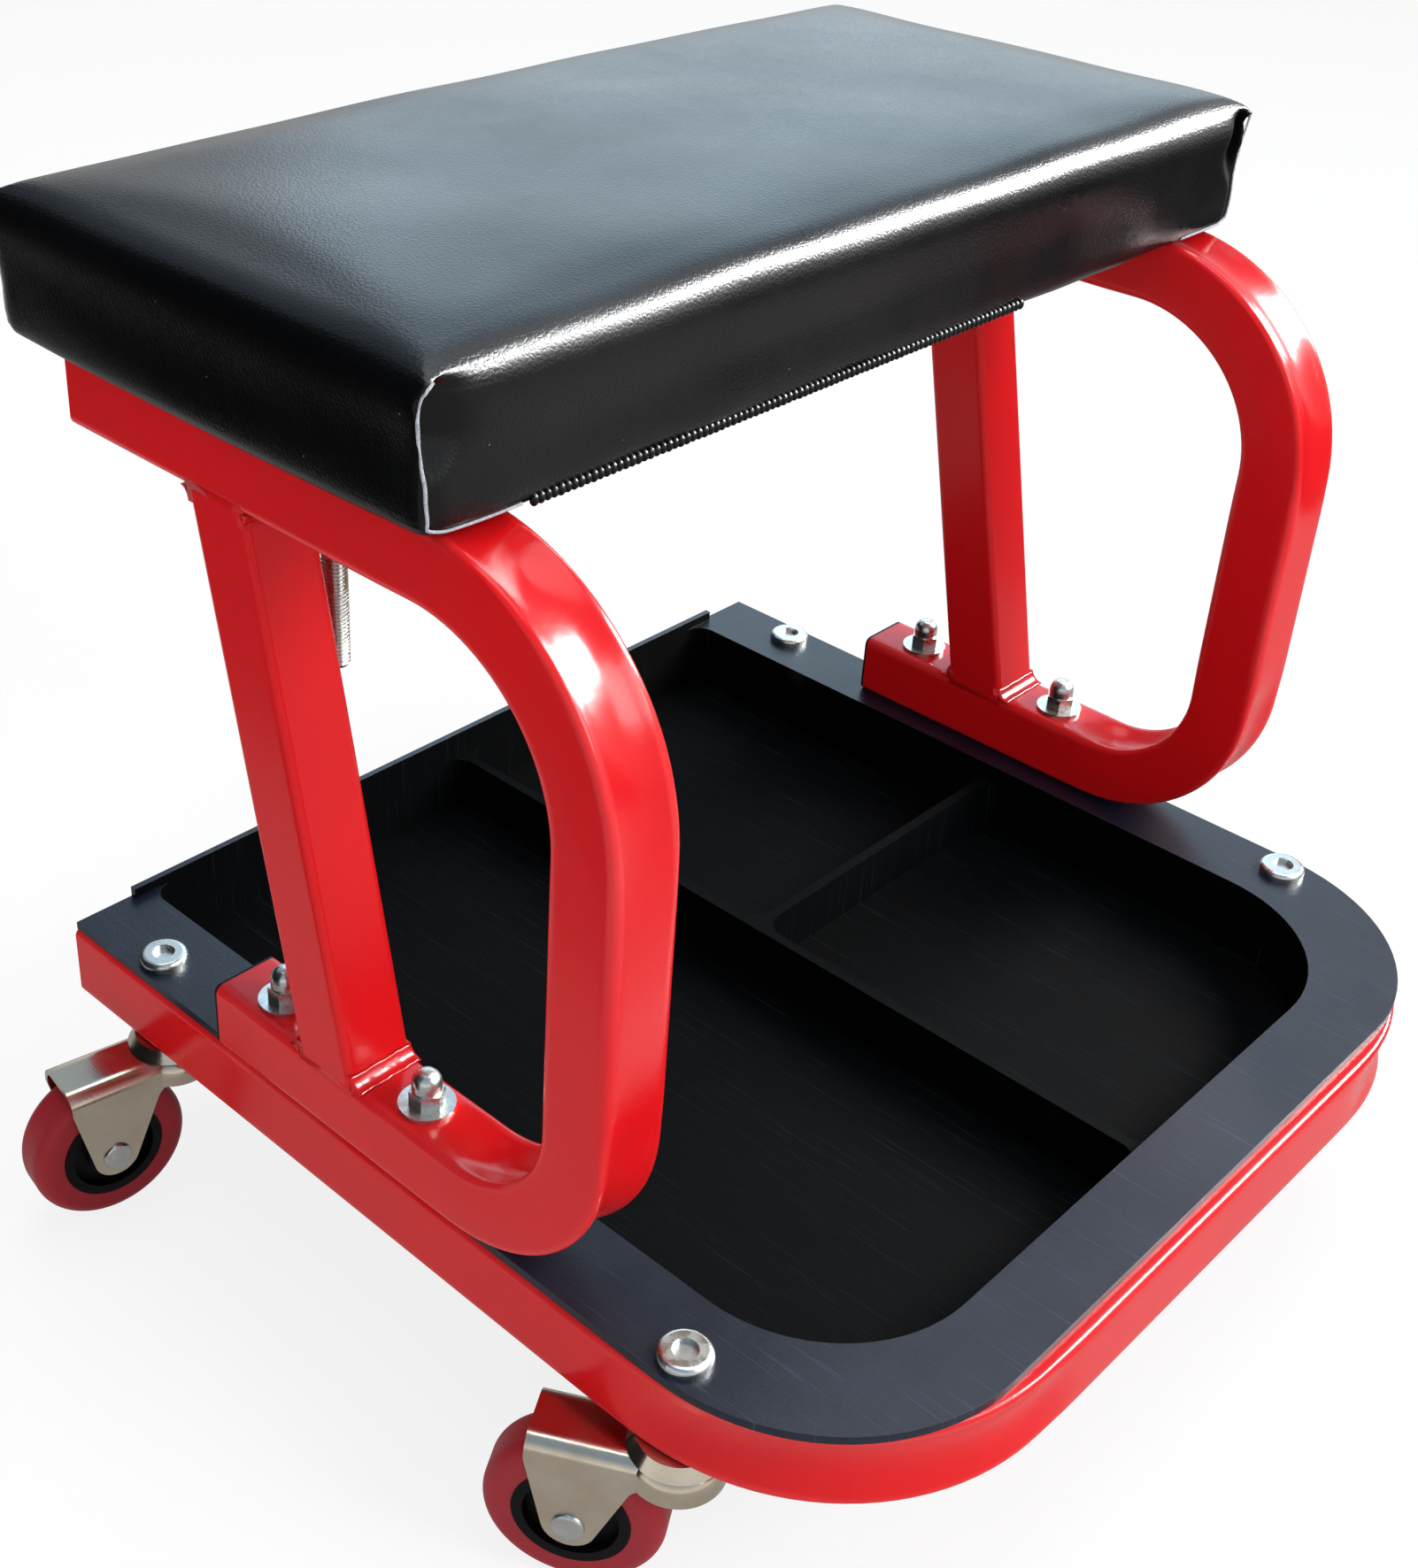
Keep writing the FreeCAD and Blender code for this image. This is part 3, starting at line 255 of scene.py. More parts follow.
redPaint = powderCoatedSteel()
# Two copies of one plastic: the basin's with painted shade, the flange's with a painted blue-grey reflection
trayBlackShadePainted = mouldedPolypropylene("mouldedPolypropylene", basinShadePainted)
traySheenPainted = mouldedPolypropylene("polypropyleneSheenPainted", flangeSheenPainted)
capBlack = mouldedBlack("mouldedPolyethylene", "#0e0f10", "#1b1d1f", (0.4, 0.6), 0.8)
hubBlack = mouldedBlack("mouldedNylon", "#050506", "#0f0e0d", (0.45, 0.6), 1.1)
zinc = platedSteel("zincPlatedSteel", "#d9dbd8", "#a9aca9", (0.18, 0.38), 5, 0.6)
brightSheet = platedSteel("pressedBrightSteel", "#d6cdbe", "#b5a58d", (0.12, 0.26), 16, 0.9)
tyreRed = castPolyurethane()
vinylBlack = embossedVinyl()
backing = knittedBacking()
plywood = rawPlywood()
slotFinish = {"red_powder_coat": redPaint, "tray_plastic": trayBlackShadePainted, "black_plastic": capBlack, "zinc_steel": zinc,
              "pressed_steel": brightSheet, "hub_plastic": hubBlack, "tyre_polyurethane": tyreRed,
              "black_vinyl": vinylBlack, "seat_foam": backing, "plywood": plywood}
for part in frame["record"]["subparts"]:
    finish = slotFinish[part["material_slot"]]
    mesh = nodes[part["node"]].data
    mesh.materials.clear()
    mesh.materials.append(finish)
print("materials:", len(slotFinish))


def newPiece(name, points, faces, finish, slot):
    mesh = bpy.data.meshes.new(name)
    mesh.from_pydata([tuple(p) for p in points], [], [tuple(f) for f in faces])
    work = bmesh.new()
    work.from_mesh(mesh)
    bmesh.ops.recalc_face_normals(work, faces=work.faces)
    work.to_mesh(mesh)
    work.free()
    return meshPiece(name, mesh, finish)


def meshPiece(name, mesh, finish, body="chassis"):
    mesh.polygons.foreach_set("use_smooth", [True] * len(mesh.polygons))
    mesh.materials.clear()
    mesh.materials.append(finish)
    piece = bpy.data.objects.new(name, mesh)
    scene.collection.objects.link(piece)
    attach(piece, body)
    return piece


def evaluated(piece):
    graph = bpy.context.evaluated_depsgraph_get()
    return bpy.data.meshes.new_from_object(piece.evaluated_get(graph))


def pointsOf(mesh):
    points = np.empty(len(mesh.vertices) * 3)
    mesh.vertices.foreach_get("co", points)
    return points.reshape(-1, 3)


def smoothStep(value):
    value = np.clip(value, 0, 1)
    return value * value * (3 - 2 * value)


# The faces between rings of points that follow each other
def tubeFaces(rows, ring, start=0):
    faces = []
    for row in range(rows - 1):
        for k in range(ring):
            a, b = start + row * ring + k, start + row * ring + (k + 1) % ring
            faces.append((a, b, b + ring, a + ring))
    return faces


def closedTube(rows, ring):
    return tubeFaces(rows, ring) + [tuple(range(ring)), tuple(range((rows - 1) * ring, rows * ring))]


def addShape(points, faces, shape):
    more, sheet = shape
    faces += [tuple(i + len(points) for i in ring) for ring in sheet]
    points += more


# Bent square tube: the inner wall of each bend is pressed in, and the outer wall sinks between its two corners
legTube = {"wall": 0.0015, "corner": 0.003, "footBend": 0.050, "topBend": 0.064, "footShort": 0.0536,
           "dishIn": 0.0048, "dishOut": 0.0030, "bulge": 0.0004}
baseTube = {"wall": 0.0016, "corner": 0.0026, "bend": 0.071, "dishIn": 0.0030, "dishOut": 0.0034, "bulge": 0.0004}
tubeMesh = {"cornerSteps": 5, "sideSteps": 10, "bendSteps": 26, "runStep": 0.006, "ease": 0.009, "wallFrom": 0.6,
            "wallSoft": 0.25}


def squareSection(width, corner):
    half, points, isCorner = width / 2, [], []
    for turn in range(4):
        quarter = Matrix.Rotation(turn * math.pi / 2, 2)
        for step in range(tubeMesh["cornerSteps"] + 1):
            angle = math.pi / 2 * step / tubeMesh["cornerSteps"]
            spot = Vector((math.cos(angle), math.sin(angle))) * corner + Vector((half - corner, half - corner))
            points.append(quarter @ spot)
            isCorner.append(1.0)
        for step in range(1, tubeMesh["sideSteps"]):
            points.append(quarter @ Vector(((half - corner) * (1 - 2 * step / tubeMesh["sideSteps"]), half)))
            isCorner.append(0.0)
    return np.array(points), np.array(isCorner)


# A flat path of straight runs and quarter bends, with the way to each bend's centre and how much it bends there
def bentPath(corners, inwardTurn):
    spots, ways = [], []
    last = np.array(corners[0][:2])
    for i in range(1, len(corners)):
        corner = np.array(corners[i][:2])
        way = (corner - last) / np.linalg.norm(corner - last)
        isBend = i < len(corners) - 1
        radius = corners[i][2] if isBend else 0.0
        entry = corner - way * radius
        count = max(3, int(np.linalg.norm(entry - last) / tubeMesh["runStep"]))
        for share in np.linspace(0, 1, count, endpoint=not isBend):
            spots.append(last + (entry - last) * share)
            ways.append(way)
        if isBend:
            after = np.array(corners[i + 1][:2]) - corner
            after = after / np.linalg.norm(after)
            for angle in np.linspace(0, math.pi / 2, tubeMesh["bendSteps"], endpoint=False):
                spots.append(entry + after * radius * (1 - math.cos(angle)) + way * radius * math.sin(angle))
                ways.append(way * math.cos(angle) + after * math.sin(angle))
            last = corner + after * radius
    spots, ways = np.array(spots), np.array(ways)
    inward = np.stack([-ways[:, 1], ways[:, 0]], 1) * inwardTurn
    steps = np.linalg.norm(np.diff(spots, axis=0), axis=1)
    at = np.concatenate([[0], np.cumsum(steps)])
    bending = np.concatenate([[0], np.linalg.norm(np.diff(ways, axis=0), axis=1) / steps]) > 1
    near = np.exp(-((at[:, None] - at[None, :]) / tubeMesh["ease"]) ** 2)
    return spots, inward, (near * bending[None, :]).sum(1) / near.sum(1)


def sweepTube(name, width, sizes, path, toSpace):
    half, points = width / 2, []
    outer, isCorner = squareSection(width, sizes["corner"])
    inner, _ = squareSection(width - 2 * sizes["wall"], sizes["corner"] - sizes["wall"])
    for section in (outer, inner):
        sinkU = np.cos(np.clip(section[:, 1] / half, -1, 1) * math.pi / 2) ** 1.5
        sinkW = np.cos(np.clip(section[:, 0] / half, -1, 1) * math.pi / 2) ** 2
        outAt = section[:, 0] / half
        onInside, onOutside = (np.clip((way * outAt - tubeMesh["wallFrom"]) / tubeMesh["wallSoft"], 0, 1)
                               for way in (1, -1))
        shift = sizes["dishOut"] * sinkU ** 0.6 * onOutside - sizes["dishIn"] * sinkU * onInside
        swell = sizes["bulge"] * sinkW * np.sign(section[:, 1])
        for spot, normal, share in zip(*path):
            points += [toSpace(spot + normal * u, w)
                       for u, w in zip(section[:, 0] + share * shift, section[:, 1] + share * swell)]
    ring, rows = len(outer), len(path[0])
    faces = tubeFaces(rows, ring) + tubeFaces(rows, ring, rows * ring)
    for row in (0, rows - 1):
        for k in range(ring):
            a, b = row * ring + k, row * ring + (k + 1) % ring
            faces.append((a, b, b + ring * rows, a + ring * rows))
    piece = newPiece(name, points, faces, redPaint, "red_powder_coat")
    marks = piece.data.attributes.new("corner", "FLOAT", "POINT")
    marks.data.foreach_set("value", np.tile(isCorner, rows * 2).astype(np.float32))
    sawn = {row * ring + k for row in (0, rows - 1, rows, 2 * rows - 1) for k in range(ring)}
    for edge in piece.data.edges:
        edge.use_edge_sharp = edge.vertices[0] in sawn and edge.vertices[1] in sawn
    return piece


# Openings under the top runs, through which the seat bolts are reached
access = {"wide": 0.019, "sides": 40, "reach": 0.004, "apart": 0.03}


def boltPlaces():
    bolts = pointsOf(nodes["seat_bolts"].data)
    places = []
    for spot in bolts[:, :2]:
        if not any(np.hypot(*(spot - near)) < access["apart"] for near in places):
            group = bolts[np.hypot(*(bolts[:, :2] - spot).T) < access["apart"]][:, :2]
            places.append((group.min(0) + group.max(0)) / 2)
    return places


def cutOpenings(piece, places, floorZ):
    cutter = bmesh.new()
    for x, y in places:
        bmesh.ops.create_cone(cutter, cap_ends=True, segments=access["sides"], radius1=access["wide"] / 2,
                              radius2=access["wide"] / 2, depth=2 * access["reach"],
                              matrix=Matrix.Translation((x, y, floorZ)))
    mesh = bpy.data.meshes.new("openings")
    cutter.to_mesh(mesh)
    cutter.free()
    bores = bpy.data.objects.new("openings", mesh)
    scene.collection.objects.link(bores)
    cut = piece.modifiers.new("cut", "BOOLEAN")
    cut.operation, cut.solver, cut.object = "DIFFERENCE", "EXACT", bores
    piece.data = evaluated(piece)
    piece.modifiers.remove(cut)
    bpy.data.objects.remove(bores)


openings = boltPlaces()
for side in ("left", "right"):
    low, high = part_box(f"leg_tube_{side}")
    width, middle = high.x - low.x, (low.x + high.x) / 2
    half = width / 2
    corners = [(high.y - legTube["footShort"], low.z + half), (low.y + half, low.z + half, legTube["footBend"]),
               (low.y + half, high.z - half, legTube["topBend"]), (high.y, high.z - half)]
    tube = sweepTube(f"bentLeg_{side}", width, legTube, bentPath(corners, -1),
                     lambda spot, across: (middle + across, spot[0], spot[1]))
    cutOpenings(tube, [p for p in openings if abs(p[0] - middle) < half], high.z - width)
    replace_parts(tube, f"leg_tube_{side}")
baseLow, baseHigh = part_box("base_frame")
width = baseHigh.z - baseLow.z
arm, front = baseHigh.x - width / 2, baseLow.y + width / 2
corners = [(-arm, baseHigh.y), (-arm, front, baseTube["bend"]), (arm, front, baseTube["bend"]), (arm, baseHigh.y)]
tube = sweepTube("bentBase", width, baseTube, bentPath(corners, 1),
                 lambda spot, across: (spot[0], spot[1], (baseLow.z + baseHigh.z) / 2 + across))
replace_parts(tube, "base_frame")
print("bent tubes done")

# Seat cushion: vinyl drawn over foam and turned under a board, so that it swells between its edges
seat = {"draw": 0.0055, "topRound": 0.011, "footRound": 0.0018, "corner": 0.004, "crown": 0.005, "step": 0.005,
        "shrink": 0.001, "heldUpTo": 0.005, "pressure": 4.0, "reach": 0.002, "calm": 12, "frames": 20,
        "hem": 0.033, "hemDeep": 0.0022, "hemSoft": 0.004, "hemUpTo": 0.006}
fold = {"deep": 0.0080, "wide": (0.003, 0.009), "edge": 0.0020, "top": 0.0425, "round": 0.008, "lip": 0.0014,
        "opensFrom": 0.013, "opensOver": 0.016, "least": 0.08, "panel": 0.024, "panelSoft": 0.010, "topSoft": 0.005,
        "topOver": 0.001, "finerX": 0.03, "finerY": 0.018, "finerUpTo": 0.002, "cuts": 3}
wave = {"high": 0.0003, "panel": 0.02, "panelSoft": 0.015, "upTo": 0.03, "upSoft": 0.02, "topFrom": 0.036,
        "topSoft": 0.008}
seatLow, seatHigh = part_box("seat_cover")
seatMid, seatHalf = (seatLow + seatHigh) / 2, (seatHigh - seatLow) / 2


# How far the sides are drawn in at a height above the foot
def drawnIn(height):
    level = height / (2 * seatHalf.z - seat["crown"])
    return seat["draw"] * np.clip(1 - level / 0.9, 0, 1) + seat["shrink"] * smoothStep(level * 2)


# Where the side's flap ends on the front panel: straight below, an arc at the top
def flapEdge(height):
    rise = np.clip(height - fold["top"] + fold["round"], 0, fold["round"])
    return fold["edge"] + fold["round"] - np.sqrt(fold["round"] ** 2 - rise ** 2)


def cushionShape():
    half = np.array(seatHalf)
    half[2] -= seat["crown"] / 2
    counts = [round(2 * h / seat["step"]) for h in half]
    spots, faces = {}, []

    def spot(*key):
        return spots.setdefault(key, len(spots))

    for axis in range(3):
        across, up = (axis + 1) % 3, (axis + 2) % 3
        for end in (0, counts[axis]):
            for i in range(counts[across]):
                for j in range(counts[up]):
                    ring = []
                    for di, dj in ((0, 0), (1, 0), (1, 1), (0, 1)):
                        key = [0, 0, 0]
                        key[axis], key[across], key[up] = end, i + di, j + dj
                        ring.append(spot(*key))
                    faces.append(ring)
    place = (np.array(list(spots)) / counts * 2 - 1) * half
    # The corners seen from above
    core = half[:2] - seat["corner"]
    beyond = place[:, :2] - np.clip(place[:, :2], -core, core)
    most, length = np.abs(beyond).max(1), np.linalg.norm(beyond, axis=1)
    place[:, :2] += beyond * (most / np.maximum(length, 1e-9) - 1)[:, None]
    # The rim and the foot: a band on either side of each edge is wrapped onto an arc
    past = np.abs(place[:, :2]) - core
    out = np.where((past > 0).all(1), np.hypot(*np.maximum(past, 0).T), past.max(1)) - seat["corner"]
    both = (past > 0).all(1)[:, None]
    normal = np.where(both, past, (past == past.max(1, keepdims=True)).astype(float))
    normal = normal / np.linalg.norm(normal, axis=1, keepdims=True) * np.sign(place[:, :2])
    for rounding, way in ((seat["topRound"], 1), (seat["footRound"], -1)):
        a, b = np.clip(rounding + out, 0, None), np.clip(place[:, 2] * way - half[2] + rounding, 0, None)
        scale = np.maximum(a, b) / np.maximum(np.hypot(a, b), 1e-9)
        wrapped = (a > 0) & (b > 0)
        place[:, :2] += np.where(wrapped, a * (scale - 1), 0)[:, None] * normal
        place[:, 2] += np.where(wrapped, b * (scale - 1), 0) * way
    level = (place[:, 2] / half[2] + 1) / 2
    inset = drawnIn(place[:, 2] + half[2])
    place[:, :2] *= 1 - inset[:, None] / half[:2]
    arch = (1 - (place[:, 0] / half[0]) ** 2) * (1 - (place[:, 1] / half[1]) ** 2)
    place[:, 2] += seat["crown"] * np.sqrt(np.maximum(arch, 0)) * smoothStep((level - 0.5) / 0.4)
    return place + [seatMid.x, seatMid.y, seatLow.z + half[2]], faces


def swell(piece):
    start = pointsOf(piece.data)
    held = piece.vertex_groups.new(name="held")
    held.add([i for i, p in enumerate(start) if p[2] < seatLow.z + seat["heldUpTo"]], 1.0, "REPLACE")
    cloth = piece.modifiers.new("swell", "CLOTH")
    cloth.settings.quality = 5
    cloth.settings.use_pressure = True
    cloth.settings.uniform_pressure_force = seat["pressure"]
    cloth.settings.vertex_group_mass = "held"
    cloth.settings.effector_weights.gravity = 0
    cloth.point_cache.frame_start, cloth.point_cache.frame_end = 1, seat["frames"]
    for now in range(1, seat["frames"] + 1):
        scene.frame_set(now)
    move = pointsOf(evaluated(piece)) - start
    scene.frame_set(1)
    piece.modifiers.remove(cloth)
    ends = np.array([e.vertices for e in piece.data.edges])
    for _ in range(seat["calm"]):
        total, count = np.zeros_like(move), np.zeros((len(move), 1))
        for a, b in ((0, 1), (1, 0)):
            np.add.at(total, ends[:, a], move[ends[:, b]])
            np.add.at(count, ends[:, a], 1)
        move = total / count
    length = np.maximum(np.linalg.norm(move, axis=1, keepdims=True), 1e-9)
    print("cushion moved up to", round(float(length.max()) * 1000, 1), "mm")
    moved = start + move * np.minimum(1, seat["reach"] / length)
    piece.data.vertices.foreach_set("co", moved.ravel())


# The panels beside the corners get more points, so that the folds can be crisp
def finerFolds(mesh):
    work = bmesh.new()
    work.from_mesh(mesh)
    near = {v for v in work.verts if abs(v.co.y - seatMid.y) > seatHalf.y - fold["finerY"]
            and abs(v.co.x - seatMid.x) > seatHalf.x - fold["finerX"] and v.co.z < seatHigh.z - fold["finerUpTo"]}
    edges = [e for e in work.edges if e.verts[0] in near and e.verts[1] in near]
    bmesh.ops.subdivide_edges(work, edges=edges, cuts=fold["cuts"], use_grid_fill=True)
    work.to_mesh(mesh)
    work.free()
    mesh.polygons.foreach_set("use_smooth", [True] * len(mesh.polygons))


def dressCushion(points):
    x, y, z = (points - np.array([seatMid.x, seatMid.y, seatLow.z])).T
    halfX, halfY = seatHalf.x, seatHalf.y
    # Each corner's fold: the front and rear panels tuck in behind the side's flap
    past = halfX - drawnIn(z) - np.abs(x)
    mouth = smoothStep((z - fold["opensFrom"]) / fold["opensOver"])
    narrow, broad = fold["wide"]
    beyond = np.clip(past - fold["edge"] - fold["lip"], 0, None) / (narrow + (broad - narrow) * mouth)
    tuck = smoothStep((past - flapEdge(z)) / fold["lip"]) * np.exp(-beyond ** 2)
    tuck *= smoothStep((np.abs(y) - halfY + fold["panel"]) / fold["panelSoft"])
    tuck *= smoothStep((fold["top"] + fold["topOver"] - z) / fold["topSoft"])
    tuck *= fold["least"] + (1 - fold["least"]) * mouth
    y = y - np.sign(y) * fold["deep"] * tuck
    # Soft unevenness of hand-drawn cloth
    edge = smoothStep((np.abs(y) - halfY + wave["panel"]) / wave["panelSoft"])
    edge *= smoothStep((wave["upTo"] - z) / wave["upSoft"])
    y = y + np.sign(y) * wave["high"] * edge * (np.sin(x * 70 + 0.6) + 0.6 * np.sin(x * 151 + 2.0))
    top = smoothStep((z - wave["topFrom"]) / wave["topSoft"])
    z = z + wave["high"] * top * (np.sin(x * 31 + 1) * np.sin(y * 43 + 2) + 0.5 * np.sin(x * 77 + y * 59))
    # Underneath, the cloth ends in a hem around the bare board
    inside = (smoothStep((halfX - seat["hem"] - np.abs(x)) / seat["hemSoft"] + 0.5)
              * smoothStep((halfY - seat["hem"] - np.abs(y)) / seat["hemSoft"] + 0.5))
    z = z + seat["hemDeep"] * inside * (z < seat["hemUpTo"])
    return np.stack([x, y, z], 1) + [seatMid.x, seatMid.y, seatLow.z]


cushion = newPiece("paddedSeat", *cushionShape(), vinylBlack, "black_vinyl")
swell(cushion)
finer = cushion.modifiers.new("finer", "SUBSURF")
finer.levels = finer.render_levels = 1
cushion.data = evaluated(cushion)
cushion.modifiers.remove(finer)
cushion.vertex_groups.clear()
finerFolds(cushion.data)
cushion.data.vertices.foreach_set("co", dressCushion(pointsOf(cushion.data)).ravel())
cushion.data.update()
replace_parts(cushion, "seat_cover", "seat_foam")
print("cushion done")


# A tree for what repeats along a path: the ribs of the edge binding
def rowTree():
    tree = bpy.data.node_groups.new("rowAlongPath", "GeometryNodeTree")
    tree.interface.new_socket("Geometry", in_out="INPUT", socket_type="NodeSocketGeometry")
    for name, kind in (("Spacing", "Float"), ("Size", "Vector"), ("Least", "Float"), ("Most", "Float"),
                       ("Seed", "Int"), ("Material", "Material")):
        tree.interface.new_socket(name, in_out="INPUT", socket_type=f"NodeSocket{kind}")
    tree.interface.new_socket("Geometry", in_out="OUTPUT", socket_type="NodeSocketGeometry")
    given = addNode(tree, "NodeGroupInput").outputs
    path = addNode(tree, "GeometryNodeMeshToCurve", {"Mesh": given["Geometry"]})
    spots = addNode(tree, "GeometryNodeCurveToPoints", {"Curve": path.outputs["Curve"], "Length": given["Spacing"]},
                    mode="LENGTH")
    bead = addNode(tree, "GeometryNodeMeshIcoSphere", {"Radius": 1.0, "Subdivisions": 2})
    vary = addNode(tree, "FunctionNodeRandomValue", {2: given["Least"], 3: given["Most"], 8: given["Seed"]})
    scale = addNode(tree, "ShaderNodeVectorMath", {0: given["Size"], "Scale": vary.outputs[1]}, operation="SCALE")
    row = addNode(tree, "GeometryNodeInstanceOnPoints", {"Points": spots.outputs["Points"],
                                                         "Instance": bead.outputs["Mesh"],
                                                         "Scale": scale.outputs["Vector"]})
    solid = addNode(tree, "GeometryNodeRealizeInstances", {"Geometry": row.outputs["Instances"]})
    finished = addNode(tree, "GeometryNodeSetMaterial", {"Geometry": solid.outputs["Geometry"],
                                                         "Material": given["Material"]})
    addNode(tree, "NodeGroupOutput", {"Geometry": finished.outputs["Geometry"]})
    return tree


def rowPiece(name, tree, path, settings, finish):
    mesh = bpy.data.meshes.new(name + "Path")
    mesh.from_pydata(path, [(i, i + 1) for i in range(len(path) - 1)], [])
    carrier = bpy.data.objects.new(name + "Path", mesh)
    scene.collection.objects.link(carrier)
    modifier = carrier.modifiers.new("row", "NODES")
    modifier.node_group = tree
    for socket in tree.interface.items_tree:
        if socket.in_out == "INPUT" and socket.name in settings:
            modifier[socket.identifier] = settings[socket.name]
        elif socket.name == "Material":
            modifier[socket.identifier] = finish
    row = evaluated(carrier)
    bpy.data.objects.remove(carrier)
    return meshPiece(name, row, finish)


# Welds where each strut meets the leg's runs: a hollow fillet before and behind it, a seam ground flush at its sides
weld = {"footLeg": 0.0045, "headLeg": 0.0026, "bed": 0.0006, "steps": 6, "along": 20, "uneven": 0.07, "hollow": 0.14,
        "flush": 0.00003, "seamOn": 0.004, "seamIn": 0.0034, "endBand": 0.0005}
binding = {"Spacing": 0.0024, "Size": (0.00135, 0.0012, 0.0018), "Least": 0.95, "Most": 1.05, "Seed": 7}
bindingEnds = [(-0.156, 0.0010), (0.060, 0.0016)]


def weldFillet(left, right, corner, up, out, size):
    points = []
    for i in range(weld["along"] + 1):
        share = i / weld["along"]
        leg = size * (1 + weld["uneven"] * math.sin(share * 31) * math.sin(share * 13 + 1))
        ring = [corner - (up + out) * weld["bed"]]
        for t in np.linspace(0, 1, weld["steps"] + 1):
            hollow = weld["hollow"] * t * (1 - t)
            ring.append(corner + up * leg * (1 - t) ** 2 + out * leg * t ** 2 + (up + out) * leg * hollow)
        points += [(left + (right - left) * share, *spot) for spot in ring]
    return points, closedTube(weld["along"] + 1, weld["steps"] + 2)


boxFaces = [(0, 1, 2, 3), (4, 5, 6, 7), (0, 1, 5, 4), (1, 2, 6, 5), (2, 3, 7, 6), (3, 0, 4, 7)]
points, faces = [], []
for side in ("left", "right"):
    strut = pointsOf(nodes[f"leg_strut_{side}"].data)
    bottom, top = strut[:, 2].min(), strut[:, 2].max()
    rings = {end: strut[np.abs(strut[:, 2] - end) < weld["endBand"]] for end in (bottom, top)}
    lean = np.array([rings[top][:, 1].mean() - rings[bottom][:, 1].mean(), top - bottom])
    lean = lean / np.linalg.norm(lean)
    for end, way, size in ((bottom, 1, weld["footLeg"]), (top, -1, weld["headLeg"])):
        left, right = strut[:, 0].min() + weld["flush"], strut[:, 0].max() - weld["flush"]
        near, far = rings[end][:, 1].min(), rings[end][:, 1].max()
        for y, sign in ((near, -1), (far, 1)):
            corner, out = np.array([y, end]), np.array([sign, 0.0])
            addShape(points, faces, weldFillet(left, right, corner, lean * way, out, size))
        seam = [(x, y + lean[0] / lean[1] * (z - end), z)
                for z in (end + way * weld["seamOn"], end - way * weld["seamIn"])
                for x, y in ((left, near), (right, near), (right, far), (left, far))]
        addShape(points, faces, (seam, boxFaces))
newPiece("strutWelds", points, faces, redPaint, "red_powder_coat")
frontY = seatMid.y - seatHalf.y + seat["draw"]
rowPiece("edgeBinding", rowTree(), [(x, frontY, seatLow.z + up) for x, up in bindingEnds], binding, vinylBlack)
print("welds and binding done")

# The cut edge of the cover: it runs down each corner's fold and on along the foot
cutEdge = {"wide": 0.0005, "thick": 0.0004, "sides": 8, "proud": 0.0003, "calm": 4, "inset": 0.0003, "fine": 6,
           "heights": (0.0424, 0.0415, 0.0395, 0.0365, 0.033, 0.028, 0.022, 0.016, 0.010, 0.005, 0.0025),
           "foot": [(0.0045, 0.0009), (0.012, 0.0008), (0.0325, 0.0010)]}


def smoothPath(points, count):
    points = np.array(points)
    points = np.concatenate([[2 * points[0] - points[1]], points, [2 * points[-1] - points[-2]]])
    path = []
    for i in range(1, len(points) - 2):
        a, b, c, d = points[i - 1:i + 3]
        for t in np.linspace(0, 1, count, endpoint=False):
            path.append(0.5 * (2 * b + (c - a) * t + (2 * a - 5 * b + 4 * c - d) * t * t
                               + (3 * b - a - 3 * c + d) * t ** 3))
    return np.array(path + [points[-2]])


def cordAlong(path, outward):
    points = []
    for spot, way, out in zip(path, np.gradient(path, axis=0), outward):
        across = np.cross(way, out)
        across = across / np.linalg.norm(across)
        for turn in np.arange(cutEdge["sides"]) * 2 * math.pi / cutEdge["sides"]:
            points.append(spot + across * cutEdge["wide"] * math.cos(turn) + out * cutEdge["thick"] * math.sin(turn))
    return points, closedTube(len(path), cutEdge["sides"])


surface = BVHTree.FromPolygons([v.co for v in cushion.data.vertices], [p.vertices for p in cushion.data.polygons])
down = [(flapEdge(height) - cutEdge["inset"], height) for height in cutEdge["heights"]]
flat = smoothPath(down + cutEdge["foot"], cutEdge["fine"])
points, faces = [], []
for signX in (-1, 1):
    for signY in (-1, 1):
        path, outward = [], []
        for past, height in flat:
            fromMid = seatHalf.x - drawnIn(height) - past
            spot = (seatMid.x + signX * fromMid, seatMid.y + signY * (seatHalf.y - drawnIn(height)),
                    seatLow.z + height)
            hit, normal, _, _ = surface.find_nearest(spot)
            path.append(np.array(hit + normal * cutEdge["proud"]))
            outward.append(np.array(normal))
        for _ in range(cutEdge["calm"]):
            for line in (path, outward):
                line[1:-1] = [(a + b + c) / 3 for a, b, c in zip(line, line[1:], line[2:])]
        addShape(points, faces, cordAlong(np.array(path), outward))
newPiece("cutEdges", points, faces, backing, "black_vinyl")
print("cut edges done")

# Threaded stud, rolled, with a lead-in at its lower end
thread = {"pitch": 0.00125, "deep": 0.00075, "sides": 24, "perTurn": 8, "lead": 0.0012, "flat": 1.15}


def threadedRod(low, high):
    middle, core = (low + high) / 2, (high.x - low.x) / 2 - thread["deep"]
    rows = int((high.z - low.z) / thread["pitch"] * thread["perTurn"])
    points = []
    for i in range(rows + 1):
        z = low.z + (high.z - low.z) * i / rows
        for k in range(thread["sides"]):
            turn = k / thread["sides"]
            phase = (z / thread["pitch"] - turn) % 1
            crest = min(1.0, thread["flat"] * abs(2 * phase - 1), (z - low.z) / thread["lead"])
            r, angle = core + thread["deep"] * crest, 2 * math.pi * turn
            points.append((middle.x + r * math.cos(angle), middle.y + r * math.sin(angle), z))
    return points, closedTube(rows + 1, thread["sides"])


rod = newPiece("threadedStud", *threadedRod(*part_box("hanging_stud")), zinc, "zinc_steel")
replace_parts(rod, "hanging_stud")

